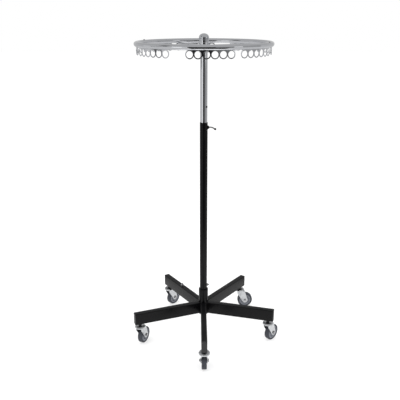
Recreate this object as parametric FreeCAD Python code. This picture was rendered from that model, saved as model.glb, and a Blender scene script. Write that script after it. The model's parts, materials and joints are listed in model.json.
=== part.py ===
"""Rolling height-adjustable carousel stand with a round rail of hanging holes.

Units are millimetres, +Z is up, the floor is z = 0 and the mast axis is x = y = 0.
The front of the stand faces -Y. Bearings are measured from the front towards +X.
"""
import FreeCAD, Part
import math
import os

V = FreeCAD.Vector
UP = V(0, 0, 1)

# how far a cutting shape reaches past the faces it cuts
OVER = 1.0

# ---- driving dimensions ---------------------------------------------------
# casters
WHEEL_D = 75.0
WHEEL_TREAD_W = 22.0
WHEEL_HUB_W = 25.0
WHEEL_BORE_D = 8.2
TYRE_INNER_D = 58.0
TYRE_CROWN_R = 4.0
TYRE_CROWN_STEPS = 4
CORE_RIM_T = 5.0
CORE_RIM_INSET = 1.5
CORE_WEB_T = 6.0
CORE_HUB_D = 22.0
TRAIL = 28.0
AXLE_D = 8.0
AXLE_HEAD_T = 4.5
AXLE_NUT_T = 5.5
AXLE_STUB = 7.5
STEM_D = 10.0
STEM_FIT = 0.05
STEM_HEAD_D = 16.0
STEM_HEAD_T = 3.4
STEM_HEAD_GAP = 0.3
STEM_COLLAR_D = 14.0
STEM_NUT_T = 8.0
STEM_ABOVE_WALL = 11.0
FORK_T = 2.0
FORK_GAP = 26.0
FORK_LOBE_R = 13.0
FORK_TOP_FRONT = 24.0
FORK_TOP_BACK = -13.0
CHEEK_BACK_H = 14.0
CHEEK_FRONT_H = 10.0
CHEEK_FRONT_LEAN = 4.0
BRIDGE_Z = 90.0
BRIDGE_T = 3.0
DISH_R = 24.0
DISH_TOP_Z = 100.0
DISH_LIP_Z = 91.0
DISH_STEP = 4.0
RACE_D = 30.0
STEM_COLLAR_Z = 100.5
STEM_HEX_Z = 105.0
HEX_17 = 17.0
HEX_13 = 13.0
HEX_10 = 10.0
# headings of the five wheels at rest, turned from +X about the stem
CASTER_HEADINGS = (90.0, 46.0, 5.0, 48.0, 66.0)

# legs
# bearings of the five legs, front first; they are not quite evenly spaced
LEG_BEARINGS = (0.8, 76.0, 142.5, 215.1, 290.35)
LEG_W = 25.0
LEG_H = 54.5
LEG_WALL = 1.5
LEG_CORNER_R = 2.5
LEG_REACH = 330.0
LEG_BOTTOM_Z = 110.5
CAP_T = 4.0
CAP_BEVEL = 1.4
CAP_TONGUE = 10.0
CAP_TONGUE_WALL = 2.0
CAP_TONGUE_GAP = 0.1
CAP_TONGUE_CORNER_R = 1.0
CAP_CORE_CORNER_R = 0.5
STEM_REACH = 305.0
STEM_HOLE_D = 10.2
NUT_LEG = 3
NUT_REACH = 181.0
NUT_WASHER_D = 16.0
NUT_WASHER_T = 1.5
NUT_T = 6.0
NUT_DOME_R = 6.0

# base socket and outer mast
SOCKET_D = 43.0
SOCKET_BORE_D = 33.1
SOCKET_BOTTOM_Z = 103.0
SOCKET_TOP_Z = 232.0
SOCKET_FLOOR_T = 3.0
SOCKET_CHAMFER = 1.2
MAST_D = 33.0
MAST_BORE_D = 30.6
MAST_TOP_Z = 1006.0
MAST_SCREW_Z = 251.0
MAST_SCREW_D = 6.0
MAST_SCREW_OUT = 9.0
MAST_HEAD_T = 4.2
MAST_WASHER_D = 12.0
MAST_WASHER_T = 1.5
MAST_WASHER_SADDLE = 2.0
DRILL_FROM_X = 5.0

# clamp on the outer mast
CLAMP_Z = 985.0
BOSS_ROOT_R = 8.0
BOSS_TIP_R = 6.0
BOSS_FROM_X = 8.0
BOSS_X = 22.5
CLAMP_ROD_D = 6.0
CLAMP_FIT = 0.2
CLAMP_PAD_X = 15.05
LEVER_BEND_X = 34.0
LEVER_TIP_X = 48.0
LEVER_DROP = 8.0
LEVER_KNOB_R = 4.6
LEVER_KNOB_LEN = 4.0

# inner mast
TUBE_D = 30.0
TUBE_WALL = 1.5
TUBE_BOTTOM_Z = 600.0
TUBE_TOP_Z = 1338.0
GLIDE_D = 30.4
GLIDE_FLANGE_T = 5.0
GLIDE_DEPTH = 25.0
PLUG_FLANGE_T = 2.0
PLUG_DEPTH = 28.0
BUTTON_Z = 1071.0
BUTTON_BEARING = 50.0
BUTTON_D = 8.0
BUTTON_HOLE_D = 8.6
BUTTON_OUT = 3.0
BUTTON_DOME_H = 1.6
BUTTON_DOME_IN = 1.4
BUTTON_BACK_X = 9.0
BUTTON_FLANGE_D = 11.0
BUTTON_FLANGE_T = 2.0
SPRING_T = 0.5
SPRING_W = 7.0
SPRING_DROP = 36.0
SPRING_LAP = 4.0
SPRING_FAR_X = -9.5
SPRING_FAR_RISE = 24.0

# carousel hub
HUB_D = 37.0
HUB_BOTTOM_Z = 1286.0
HUB_TOP_Z = 1326.0
BUSH_D = 33.0
BUSH_BORE_D = 30.1
BUSH_ROOF_T = 2.0
BUSH_RECESS = 1.0
PLUG_GAP = 0.3
FINIAL_D = 40.0
FINIAL_TOP_Z = 1359.0
FINIAL_SHOULDER_Z = 1344.0
FINIAL_CHAMFER = 1.5
FINIAL_STEPS = 8
SPOKE_D = 10.0
SPOKE_Z = 1311.0
SPOKE_END_R = 263.0
SPOKE_BEARINGS = (25.0, 115.0, -155.0, -65.0)

# round rail
RAIL_R = 267.0
RAIL_D = 20.0
RAIL_WALL = 1.5
RAIL_Z = 1320.0
# one seam of the rail; the other is opposite, and both lie in a gap between strips
RAIL_SEAM = -109.4
SEAM_GAP_DEG = 0.03
JOINER_HALF_DEG = 4.5
SEAM_SCREW_DEG = 2.6
SEAM_SCREW_D = 4.0
SEAM_HEAD_D = 7.0
SEAM_HEAD_H = 2.2
SEAM_HEAD_SINK = 0.8
SEAM_SHANK_OVER = 0.5
SEAM_TRIM_DEG = 2.0

# strips of hanging holes under the rail
# bearings of the eight strips, measured to the middle of each
STRIP_BEARINGS = (5.2, 49.2, 92.8, 136.3, 188.6, 230.0, 271.3, 312.7)
STRIP_T = 2.0
STRIP_HOLES = 6
STRIP_HOLE_PITCH = 6.475
STRIP_HOLE_D = 24.0
STRIP_LOBE_R = 16.1
STRIP_HOLE_Z = 1295.4
STRIP_TOP_Z = 1312.0
STRIP_PUNCH_OVER = 3.0


# ---- small helpers --------------------------------------------------------
def cyl(diameter, z0, z1, x=0.0, y=0.0):
    """Upright cylinder between two heights."""
    return Part.makeCylinder(diameter / 2, z1 - z0, V(x, y, z0))


def rod_x(diameter, x0, x1, z):
    """Cylinder lying along +X at height z."""
    return Part.makeCylinder(diameter / 2, x1 - x0, V(x0, 0, z), V(1, 0, 0))


def hexagon(across_flats, start, axis, length):
    """Hexagonal prism from a start point along an axis."""
    radius = across_flats / math.sqrt(3)
    points = []
    for k in range(7):
        a = math.radians(60 * k)
        points.append(V(radius * math.cos(a), radius * math.sin(a), 0))
    prism = Part.Face(Part.makePolygon(points)).extrude(V(0, 0, length))
    prism.Placement = FreeCAD.Placement(start, FreeCAD.Rotation(UP, axis))
    return prism


def turned(points):
    """Solid turned about the Z axis from a closed (radius, z) outline."""
    wire = Part.makePolygon([V(r, 0, z) for r, z in points + [points[0]]])
    return Part.Face(wire).revolve(V(0, 0, 0), UP, 360)


def at_bearing(shape, bearing):
    """Copy of a shape drawn along +X, swung round to a bearing."""
    moved = shape.copy()
    moved.rotate(V(0, 0, 0), UP, bearing - 90)
    return moved


def rounded_bar(width, height, radius, x0, x1, z_mid):
    """Bar along +X with four rounded long edges."""
    bar = Part.makeBox(x1 - x0, width, height, V(x0, -width / 2, z_mid - height / 2))
    long_edges = [e for e in bar.Edges if abs(e.tangentAt(e.FirstParameter).x) > 0.9]
    return bar.makeFillet(radius, long_edges)


def ring_sweep(outer_r, inner_r, start, stop):
    """Part of the round rail swept between two bearings."""
    centre = V(RAIL_R, 0, RAIL_Z)
    face = Part.Face(Part.Wire(Part.makeCircle(outer_r, centre, V(0, 1, 0))))
    if inner_r > 0:
        face = face.cut(Part.Face(Part.Wire(Part.makeCircle(inner_r, centre, V(0, 1, 0)))))
    swept = face.revolve(V(0, 0, 0), UP, stop - start)
    return at_bearing(swept, start)


def save(shape, node):
    """Write one named piece."""
    shape.exportStep("parts/%s.step" % node)


# ---- rolling base ---------------------------------------------------------
def make_socket():
    """Tube socket that the mast stands in, closed by a floor plate."""
    bore = SOCKET_BORE_D / 2
    outer = SOCKET_D / 2
    chamfer = SOCKET_CHAMFER
    floor_z = SOCKET_BOTTOM_Z + SOCKET_FLOOR_T
    return turned([
        (0, SOCKET_BOTTOM_Z), (outer - chamfer, SOCKET_BOTTOM_Z),
        (outer, SOCKET_BOTTOM_Z + chamfer), (outer, SOCKET_TOP_Z - chamfer),
        (outer - chamfer, SOCKET_TOP_Z), (bore, SOCKET_TOP_Z),
        (bore, floor_z), (0, floor_z),
    ])


def make_leg():
    """Rectangular tube leg coped to the socket, drilled for a caster stem."""
    z_mid = LEG_BOTTOM_Z + LEG_H / 2
    end = LEG_REACH - CAP_T
    outer = rounded_bar(LEG_W, LEG_H, LEG_CORNER_R, 0, end, z_mid)
    inner_w = LEG_W - 2 * LEG_WALL
    inner_h = LEG_H - 2 * LEG_WALL
    hollow = rounded_bar(inner_w, inner_h, LEG_CORNER_R - LEG_WALL, -OVER, end + OVER, z_mid)
    cope = cyl(SOCKET_D, LEG_BOTTOM_Z - OVER, LEG_BOTTOM_Z + LEG_H + OVER)
    wall_top = LEG_BOTTOM_Z + LEG_WALL
    drill = cyl(STEM_HOLE_D, LEG_BOTTOM_Z - OVER, wall_top + OVER, STEM_REACH)
    leg = outer.cut(hollow)
    leg = leg.cut(cope)
    return leg.cut(drill)


def make_leg_cap():
    """Bevelled plastic plug that closes the end of a leg."""
    z_mid = LEG_BOTTOM_Z + LEG_H / 2
    x0 = LEG_REACH - CAP_T
    head = rounded_bar(LEG_W, LEG_H, LEG_CORNER_R, x0, LEG_REACH, z_mid)
    rim = [e for e in head.Edges if abs(e.BoundBox.XMin - LEG_REACH) < 0.01]
    head = head.makeChamfer(CAP_BEVEL, rim)
    plug_w = LEG_W - 2 * LEG_WALL - 2 * CAP_TONGUE_GAP
    plug_h = LEG_H - 2 * LEG_WALL - 2 * CAP_TONGUE_GAP
    tongue_x = x0 - CAP_TONGUE
    tongue = rounded_bar(plug_w, plug_h, CAP_TONGUE_CORNER_R, tongue_x, x0, z_mid)
    core_w = plug_w - 2 * CAP_TONGUE_WALL
    core_h = plug_h - 2 * CAP_TONGUE_WALL
    core = rounded_bar(core_w, core_h, CAP_CORE_CORNER_R, tongue_x - OVER, x0, z_mid)
    return head.fuse(tongue.cut(core)).removeSplitter()


def make_caster_stem():
    """Threaded stem with its hexagon under the leg and lock nut inside it."""
    nut_z = LEG_BOTTOM_Z + LEG_WALL
    head_top = BRIDGE_Z - STEM_HEAD_GAP
    head_z = head_top - STEM_HEAD_T
    stem = cyl(STEM_D, head_z, nut_z + STEM_ABOVE_WALL)
    stem = stem.fuse(cyl(STEM_HEAD_D, head_z, head_top))
    stem = stem.fuse(cyl(STEM_COLLAR_D, STEM_COLLAR_Z, STEM_HEX_Z))
    stem = stem.fuse(hexagon(HEX_17, V(0, 0, STEM_HEX_Z), UP, LEG_BOTTOM_Z - STEM_HEX_Z))
    stem = stem.fuse(hexagon(HEX_17, V(0, 0, nut_z), UP, STEM_NUT_T))
    return stem.removeSplitter()


def make_leg_nut():
    """Domed nut and washer standing on top of one leg."""
    top = LEG_BOTTOM_Z + LEG_H
    nut_z = top + NUT_WASHER_T
    washer = cyl(NUT_WASHER_D, top, nut_z)
    nut = hexagon(HEX_13, V(0, 0, nut_z), UP, NUT_T)
    dome = Part.makeSphere(NUT_DOME_R, V(0, 0, nut_z + NUT_T), UP, 0, 90, 360)
    body = washer.fuse(nut).fuse(dome).removeSplitter()
    body.translate(V(NUT_REACH, 0, 0))
    return body


def make_outer_mast():
    """Lower mast tube, drilled for the clamp screw and the mast screw."""
    floor_z = SOCKET_BOTTOM_Z + SOCKET_FLOOR_T
    mast = cyl(MAST_D, floor_z, MAST_TOP_Z)
    mast = mast.cut(cyl(MAST_BORE_D, floor_z - OVER, MAST_TOP_Z + OVER))
    mast = mast.cut(rod_x(CLAMP_ROD_D + CLAMP_FIT, DRILL_FROM_X, MAST_D, CLAMP_Z))
    return mast.cut(rod_x(MAST_SCREW_D, DRILL_FROM_X, MAST_D, MAST_SCREW_Z))


def make_clamp_boss():
    """Tapered threaded boss welded to the side of the lower mast."""
    root = V(BOSS_FROM_X, 0, CLAMP_Z)
    boss = Part.makeCone(BOSS_ROOT_R, BOSS_TIP_R, BOSS_X - BOSS_FROM_X, root, V(1, 0, 0))
    boss = boss.cut(cyl(MAST_D, CLAMP_Z - 2 * BOSS_ROOT_R, CLAMP_Z + 2 * BOSS_ROOT_R))
    return boss.cut(rod_x(CLAMP_ROD_D + CLAMP_FIT, DRILL_FROM_X, BOSS_X + OVER, CLAMP_Z))


def make_mast_screw():
    """Hexagon screw with washer through the wall of the lower mast."""
    seat = MAST_D / 2
    head_x = seat + MAST_WASHER_T
    shank = rod_x(MAST_SCREW_D, MAST_BORE_D / 2, seat + MAST_SCREW_OUT, MAST_SCREW_Z)
    washer = rod_x(MAST_WASHER_D, seat - MAST_WASHER_SADDLE, head_x, MAST_SCREW_Z)
    washer = washer.cut(cyl(MAST_D, MAST_SCREW_Z - MAST_WASHER_D, MAST_SCREW_Z + MAST_WASHER_D))
    head = hexagon(HEX_10, V(head_x, 0, MAST_SCREW_Z), V(1, 0, 0), MAST_HEAD_T)
    return shank.fuse([washer, head]).removeSplitter()


def build_base():
    """All the fixed pieces of the rolling base and the lower mast."""
    save(make_socket(), "base_socket")
    leg = make_leg()
    cap = make_leg_cap()
    stem = make_caster_stem()
    stem.translate(V(STEM_REACH, 0, 0))
    solid_leg = rounded_bar(LEG_W, LEG_H, LEG_CORNER_R, 0, LEG_REACH, LEG_BOTTOM_Z + LEG_H / 2)
    caps = []
    stems = []
    placed = []
    for k, bearing in enumerate(LEG_BEARINGS):
        turned_leg = at_bearing(leg, bearing)
        # neighbouring legs meet just outside the socket, so each is coped to those before
        if placed:
            turned_leg = turned_leg.cut(placed)
        placed.append(at_bearing(solid_leg, bearing))
        save(turned_leg, "leg_%d" % (k + 1))
        caps.append(at_bearing(cap, bearing))
        stems.append(at_bearing(stem, bearing))
    save(Part.makeCompound(caps), "leg_end_caps")
    save(Part.makeCompound(stems), "caster_stems")
    save(at_bearing(make_leg_nut(), LEG_BEARINGS[NUT_LEG]), "leg_cap_nut")
    save(make_outer_mast(), "outer_mast")
    save(make_clamp_boss(), "clamp_boss")
    save(make_mast_screw(), "mast_screw")


# ---- casters --------------------------------------------------------------
def tangent_point(px, pz, cx, cz, radius, side):
    """Point where the line from (px, pz) touches a circle on the chosen side."""
    distance = math.hypot(px - cx, pz - cz)
    toward = math.atan2(pz - cz, px - cx)
    a = toward + side * math.acos(radius / distance)
    return V(cx + radius * math.cos(a), 0, cz + radius * math.sin(a))


def make_cheek(y0):
    """One side plate of the fork, narrowing to a lobe round the axle."""
    cz = WHEEL_D / 2
    top = BRIDGE_Z + BRIDGE_T
    back = V(FORK_TOP_BACK, 0, top)
    front = V(FORK_TOP_FRONT, 0, top)
    low_back = V(FORK_TOP_BACK, 0, top - CHEEK_BACK_H)
    low_front = V(FORK_TOP_FRONT + CHEEK_FRONT_LEAN, 0, top - CHEEK_FRONT_H)
    touch_back = tangent_point(low_back.x, low_back.z, TRAIL, cz, FORK_LOBE_R, 1)
    touch_front = tangent_point(low_front.x, low_front.z, TRAIL, cz, FORK_LOBE_R, -1)
    points = [back, front, low_front, touch_front, V(TRAIL, 0, cz), touch_back, low_back, back]
    plate = Part.Face(Part.makePolygon(points)).extrude(V(0, FORK_T, 0))
    lobe = Part.makeCylinder(FORK_LOBE_R, FORK_T, V(TRAIL, 0, cz), V(0, 1, 0))
    cheek = plate.fuse(lobe).removeSplitter()
    cheek.translate(V(0, y0, 0))
    return cheek


def make_fork():
    """Pressed swivel fork: raceway dish, bridge plate and two cheeks."""
    bore = STEM_D / 2 + STEM_FIT
    step = DISH_STEP
    dish = turned([
        (bore, DISH_TOP_Z), (DISH_R - step, DISH_TOP_Z), (DISH_R, DISH_TOP_Z - step),
        (DISH_R, DISH_LIP_Z), (DISH_R - FORK_T, DISH_LIP_Z),
        (DISH_R - FORK_T, DISH_TOP_Z - step - 1), (DISH_R - step - 1, DISH_TOP_Z - FORK_T),
        (bore, DISH_TOP_Z - FORK_T),
    ])
    width = FORK_GAP + 2 * FORK_T
    length = FORK_TOP_FRONT - FORK_TOP_BACK
    bridge = Part.makeBox(length, width, BRIDGE_T, V(FORK_TOP_BACK, -width / 2, BRIDGE_Z))
    race = cyl(RACE_D, BRIDGE_Z + BRIDGE_T, DISH_TOP_Z - FORK_T)
    fork = dish.fuse([bridge, race, make_cheek(FORK_GAP / 2), make_cheek(-width / 2)])
    fork = fork.cut(cyl(2 * bore, BRIDGE_Z - OVER, DISH_TOP_Z + OVER))
    start = V(TRAIL, -width / 2 - OVER, WHEEL_D / 2)
    axle_hole = Part.makeCylinder(AXLE_D / 2, width + 2 * OVER, start, V(0, 1, 0))
    return fork.cut(axle_hole).removeSplitter()


def make_axle_bolt():
    """Axle bolt with its head and nut outside the two cheeks."""
    along = V(0, 1, 0)
    half = FORK_GAP / 2 + FORK_T
    z = WHEEL_D / 2
    bolt = Part.makeCylinder(AXLE_D / 2, 2 * half + AXLE_STUB, V(TRAIL, -half, z), along)
    head = hexagon(HEX_13, V(TRAIL, -half - AXLE_HEAD_T, z), along, AXLE_HEAD_T)
    nut = hexagon(HEX_13, V(TRAIL, half, z), along, AXLE_NUT_T)
    return bolt.fuse([head, nut]).removeSplitter()


def wheel_turned(points):
    """Shape turned about the axle from a closed (radius, width) outline."""
    shape = turned(points)
    shape.rotate(V(0, 0, 0), V(1, 0, 0), 90)
    shape.translate(V(TRAIL, 0, WHEEL_D / 2))
    return shape


def make_tyre():
    """Rubber tyre with a softly rounded tread."""
    outer = WHEEL_D / 2
    inner = TYRE_INNER_D / 2
    half = WHEEL_TREAD_W / 2
    crown = TYRE_CROWN_R
    outline = [(inner, -half), (outer - crown, -half)]
    for k in range(1, TYRE_CROWN_STEPS):
        a = math.radians(90.0 * k / TYRE_CROWN_STEPS)
        outline.append((outer - crown + crown * math.sin(a), -half + crown * (1 - math.cos(a))))
    outline.append((outer, -half + crown))
    outline += [(r, -w) for r, w in reversed(outline)]
    return wheel_turned(outline)


def make_core():
    """Plastic wheel centre: hub, web and rim."""
    rim_out = TYRE_INNER_D / 2
    rim_in = rim_out - CORE_RIM_T
    rim_half = WHEEL_TREAD_W / 2 - CORE_RIM_INSET
    hub = CORE_HUB_D / 2
    hub_half = WHEEL_HUB_W / 2
    web = CORE_WEB_T / 2
    bore = WHEEL_BORE_D / 2
    side = [(bore, hub_half), (hub, hub_half), (hub, web), (rim_in, web),
            (rim_in, rim_half), (rim_out, rim_half)]
    mirrored = [(r, -w) for r, w in reversed(side)]
    return wheel_turned(side + mirrored)


def build_casters():
    """Five swivel casters, each turned to its own heading."""
    pieces = {"caster_fork": make_fork(), "caster_axle": make_axle_bolt(),
              "caster_tyre": make_tyre(), "caster_core": make_core()}
    for k, leg_bearing in enumerate(LEG_BEARINGS):
        bearing = math.radians(leg_bearing - 90)
        stem = V(STEM_REACH * math.cos(bearing), STEM_REACH * math.sin(bearing), 0)
        for name, shape in pieces.items():
            piece = shape.copy()
            piece.rotate(V(0, 0, 0), UP, CASTER_HEADINGS[k])
            piece.translate(stem)
            save(piece, "%s_%d" % (name, k + 1))


# ---- inner mast, snap button and clamp screw --------------------------------
def build_inner_mast():
    """Telescoping chrome tube with its end plugs."""
    bore = TUBE_D - 2 * TUBE_WALL
    tube = cyl(TUBE_D, TUBE_BOTTOM_Z, TUBE_TOP_Z)
    tube = tube.cut(cyl(bore, TUBE_BOTTOM_Z - OVER, TUBE_TOP_Z + OVER))
    hole = rod_x(BUTTON_HOLE_D, DRILL_FROM_X, TUBE_D, BUTTON_Z)
    tube = tube.cut(at_bearing(hole, BUTTON_BEARING))
    save(tube, "inner_mast")
    flange = cyl(GLIDE_D, TUBE_BOTTOM_Z - GLIDE_FLANGE_T, TUBE_BOTTOM_Z)
    glide = flange.fuse(cyl(bore, TUBE_BOTTOM_Z, TUBE_BOTTOM_Z + GLIDE_DEPTH))
    save(glide.removeSplitter(), "inner_glide")
    plug = cyl(TUBE_D, TUBE_TOP_Z, TUBE_TOP_Z + PLUG_FLANGE_T)
    plug = plug.fuse(cyl(bore, TUBE_TOP_Z - PLUG_DEPTH, TUBE_TOP_Z))
    save(plug.removeSplitter(), "top_plug")


def build_snap_button():
    """Domed stop button and the leaf spring behind it."""
    radius = BUTTON_D / 2
    tip = TUBE_D / 2 + BUTTON_OUT
    shoulder = tip - BUTTON_DOME_H
    body = rod_x(BUTTON_D, BUTTON_BACK_X, shoulder, BUTTON_Z)
    flange = rod_x(BUTTON_FLANGE_D, BUTTON_BACK_X, BUTTON_BACK_X + BUTTON_FLANGE_T, BUTTON_Z)
    tip_r = radius - BUTTON_DOME_IN
    dome = Part.makeCone(radius, tip_r, BUTTON_DOME_H, V(shoulder, 0, BUTTON_Z), V(1, 0, 0))
    button = body.fuse([flange, dome]).removeSplitter()
    save(at_bearing(button, BUTTON_BEARING), "snap_button")
    near = BUTTON_BACK_X - SPRING_T
    low = BUTTON_Z - SPRING_DROP
    bend_r = (BUTTON_BACK_X - SPRING_FAR_X) / 2
    mid = (BUTTON_BACK_X + SPRING_FAR_X) / 2
    side = -SPRING_W / 2
    near_leg = Part.makeBox(SPRING_T, SPRING_W, SPRING_DROP + SPRING_LAP, V(near, side, low))
    far_leg = Part.makeBox(SPRING_T, SPRING_W, SPRING_FAR_RISE, V(SPRING_FAR_X, side, low))
    start = V(mid, side, low)
    along = V(0, 1, 0)
    outer = Part.makeCylinder(bend_r, SPRING_W, start, along)
    bend = outer.cut(Part.makeCylinder(bend_r - SPRING_T, SPRING_W, start, along))
    upper_half = Part.makeBox(2 * TUBE_D, 2 * TUBE_D, TUBE_D, V(-TUBE_D, -TUBE_D, low))
    bend = bend.cut(upper_half)
    spring = near_leg.fuse([far_leg, bend]).removeSplitter()
    save(at_bearing(spring, BUTTON_BEARING), "button_spring")


def build_clamp_screw():
    """Clamp screw bent into a lever, with a rounded tip."""
    radius = CLAMP_ROD_D / 2
    bend = V(LEVER_BEND_X, 0, CLAMP_Z)
    tip = V(LEVER_TIP_X, 0, CLAMP_Z - LEVER_DROP)
    arm_axis = tip.sub(bend)
    rod = rod_x(CLAMP_ROD_D, CLAMP_PAD_X, LEVER_BEND_X, CLAMP_Z)
    knuckle = Part.makeSphere(radius, bend)
    arm = Part.makeCylinder(radius, arm_axis.Length, bend, arm_axis)
    screw = rod.fuse([knuckle, arm]).removeSplitter()
    knob = Part.makeSphere(LEVER_KNOB_R, tip)
    unit = V(arm_axis.x, arm_axis.y, arm_axis.z).normalize()
    root = tip.sub(unit * LEVER_KNOB_LEN)
    knob = knob.fuse(Part.makeCylinder(LEVER_KNOB_R, LEVER_KNOB_LEN, root, unit))
    save(screw.cut(knob), "clamp_screw")
    save(knob.removeSplitter(), "lever_tip")


# ---- carousel -------------------------------------------------------------
def build_hub():
    """Hub sleeve, its bearing bush and the domed finial."""
    sleeve = cyl(HUB_D, HUB_BOTTOM_Z, HUB_TOP_Z).cut(cyl(BUSH_D, HUB_BOTTOM_Z, HUB_TOP_Z))
    save(sleeve, "hub_sleeve")
    roof = TUBE_TOP_Z + PLUG_FLANGE_T + PLUG_GAP
    bush = cyl(BUSH_D, HUB_BOTTOM_Z + BUSH_RECESS, roof + BUSH_ROOF_T)
    save(bush.cut(cyl(BUSH_BORE_D, HUB_BOTTOM_Z, roof)), "hub_bush")
    outer = FINIAL_D / 2
    rise = FINIAL_TOP_Z - FINIAL_SHOULDER_Z
    outline = [(BUSH_D / 2, HUB_TOP_Z), (outer - FINIAL_CHAMFER, HUB_TOP_Z),
               (outer, HUB_TOP_Z + FINIAL_CHAMFER)]
    for k in range(FINIAL_STEPS):
        a = math.radians(90.0 * k / FINIAL_STEPS)
        outline.append((outer * math.cos(a), FINIAL_SHOULDER_Z + rise * math.sin(a)))
    outline += [(0, FINIAL_TOP_Z), (0, roof + BUSH_ROOF_T), (BUSH_D / 2, roof + BUSH_ROOF_T)]
    save(turned(outline), "finial_cap")


def build_spokes():
    """Four rod spokes from the hub sleeve to the underside of the rail."""
    rail = Part.makeTorus(RAIL_R, RAIL_D / 2, V(0, 0, RAIL_Z))
    hub = cyl(HUB_D, HUB_BOTTOM_Z, HUB_TOP_Z)
    spoke = rod_x(SPOKE_D, HUB_D / 4, SPOKE_END_R, SPOKE_Z).cut(hub)
    spoke = spoke.cut(rail)
    for k, bearing in enumerate(SPOKE_BEARINGS):
        save(at_bearing(spoke, bearing), "spoke_%d" % (k + 1))


def seam_drill(bearing, diameter, z0, z1):
    """Upright pin at the rail radius on a bearing."""
    return at_bearing(cyl(diameter, z0, z1, RAIL_R), bearing)


def seam_screw(bearing):
    """Pan-head screw through the top of the rail into a joiner."""
    top = RAIL_Z + RAIL_D / 2
    shank = seam_drill(bearing, SEAM_SCREW_D, RAIL_Z, top + SEAM_SHANK_OVER)
    head = seam_drill(bearing, SEAM_HEAD_D, top - SEAM_HEAD_SINK, top + SEAM_HEAD_H)
    tube = ring_sweep(RAIL_D / 2, 0, bearing - SEAM_TRIM_DEG, bearing + SEAM_TRIM_DEG)
    return head.cut(tube).fuse(shank).removeSplitter()


def build_rail():
    """Two half rails, the joiners inside their seams and one screw beside each."""
    outer = RAIL_D / 2
    inner = outer - RAIL_WALL
    joiners = []
    screws = []
    drills = []
    for seam in (RAIL_SEAM, RAIL_SEAM + 180):
        joiner = ring_sweep(inner, 0, seam - JOINER_HALF_DEG, seam + JOINER_HALF_DEG)
        screw_at = seam - SEAM_SCREW_DEG
        drill = seam_drill(screw_at, SEAM_SCREW_D, RAIL_Z, RAIL_Z + outer + OVER)
        drills.append(drill)
        joiners.append(joiner.cut(drill))
        screws.append(seam_screw(screw_at))
    for name, start in (("half_rail_a", RAIL_SEAM), ("half_rail_b", RAIL_SEAM + 180)):
        half = ring_sweep(outer, inner, start + SEAM_GAP_DEG, start + 180 - SEAM_GAP_DEG)
        save(half.cut(drills), name)
    save(Part.makeCompound(joiners), "rail_joiners")
    save(Part.makeCompound(screws), "seam_screws")


def make_strip():
    """Curved perforated strip, scalloped below, drawn about the front."""
    inner_r = RAIL_R - STRIP_T / 2
    outer_r = RAIL_R + STRIP_T / 2
    low = STRIP_HOLE_Z - STRIP_LOBE_R - OVER
    shell = cyl(2 * outer_r, low, STRIP_TOP_Z).cut(cyl(2 * inner_r, low, STRIP_TOP_Z))
    span = STRIP_HOLE_PITCH * (STRIP_HOLES - 1)
    profile = [V(inner_r - OVER, 0, STRIP_HOLE_Z), V(outer_r + OVER, 0, STRIP_HOLE_Z),
               V(outer_r + OVER, 0, STRIP_TOP_Z), V(inner_r - OVER, 0, STRIP_TOP_Z)]
    face = Part.Face(Part.makePolygon(profile + [profile[0]]))
    outline = at_bearing(face.revolve(V(0, 0, 0), UP, span), -span / 2)
    near = inner_r - STRIP_PUNCH_OVER
    far = outer_r + STRIP_PUNCH_OVER
    lobe = rod_x(2 * STRIP_LOBE_R, near, far, STRIP_HOLE_Z)
    hole = rod_x(STRIP_HOLE_D, near, far, STRIP_HOLE_Z)
    holes = []
    lobes = []
    for k in range(STRIP_HOLES):
        bearing = STRIP_HOLE_PITCH * (k - (STRIP_HOLES - 1) / 2)
        lobes.append(at_bearing(lobe, bearing))
        holes.append(at_bearing(hole, bearing))
    strip = shell.common(outline.fuse(lobes))
    strip = strip.cut(holes)
    return strip.cut(Part.makeTorus(RAIL_R, RAIL_D / 2, V(0, 0, RAIL_Z)))


def build_strips():
    """Eight strips, four under each half of the rail."""
    strip = make_strip()
    for k, bearing in enumerate(STRIP_BEARINGS):
        moved = strip.copy()
        moved.rotate(V(0, 0, 0), UP, bearing)
        save(moved, "hook_strip_%d" % (k + 1))


os.makedirs("parts", exist_ok=True)
build_base()
build_casters()
build_inner_mast()
build_snap_button()
build_clamp_screw()
build_hub()
build_spokes()
build_rail()
build_strips()
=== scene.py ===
"""Looks of a rolling carousel stand, built round its CAD frame.

Units are metres, +Z is up, the floor is z = 0 and the mast stands on x = y = 0.
The front of the stand faces -Y. Bearings run from the front towards +X.
"""

import json
import logging
import math
from collections.abc import Callable, Iterable, Sequence
from dataclasses import dataclass, field
from enum import Enum

import bmesh
import bpy
from mathutils import Matrix, Vector

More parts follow.
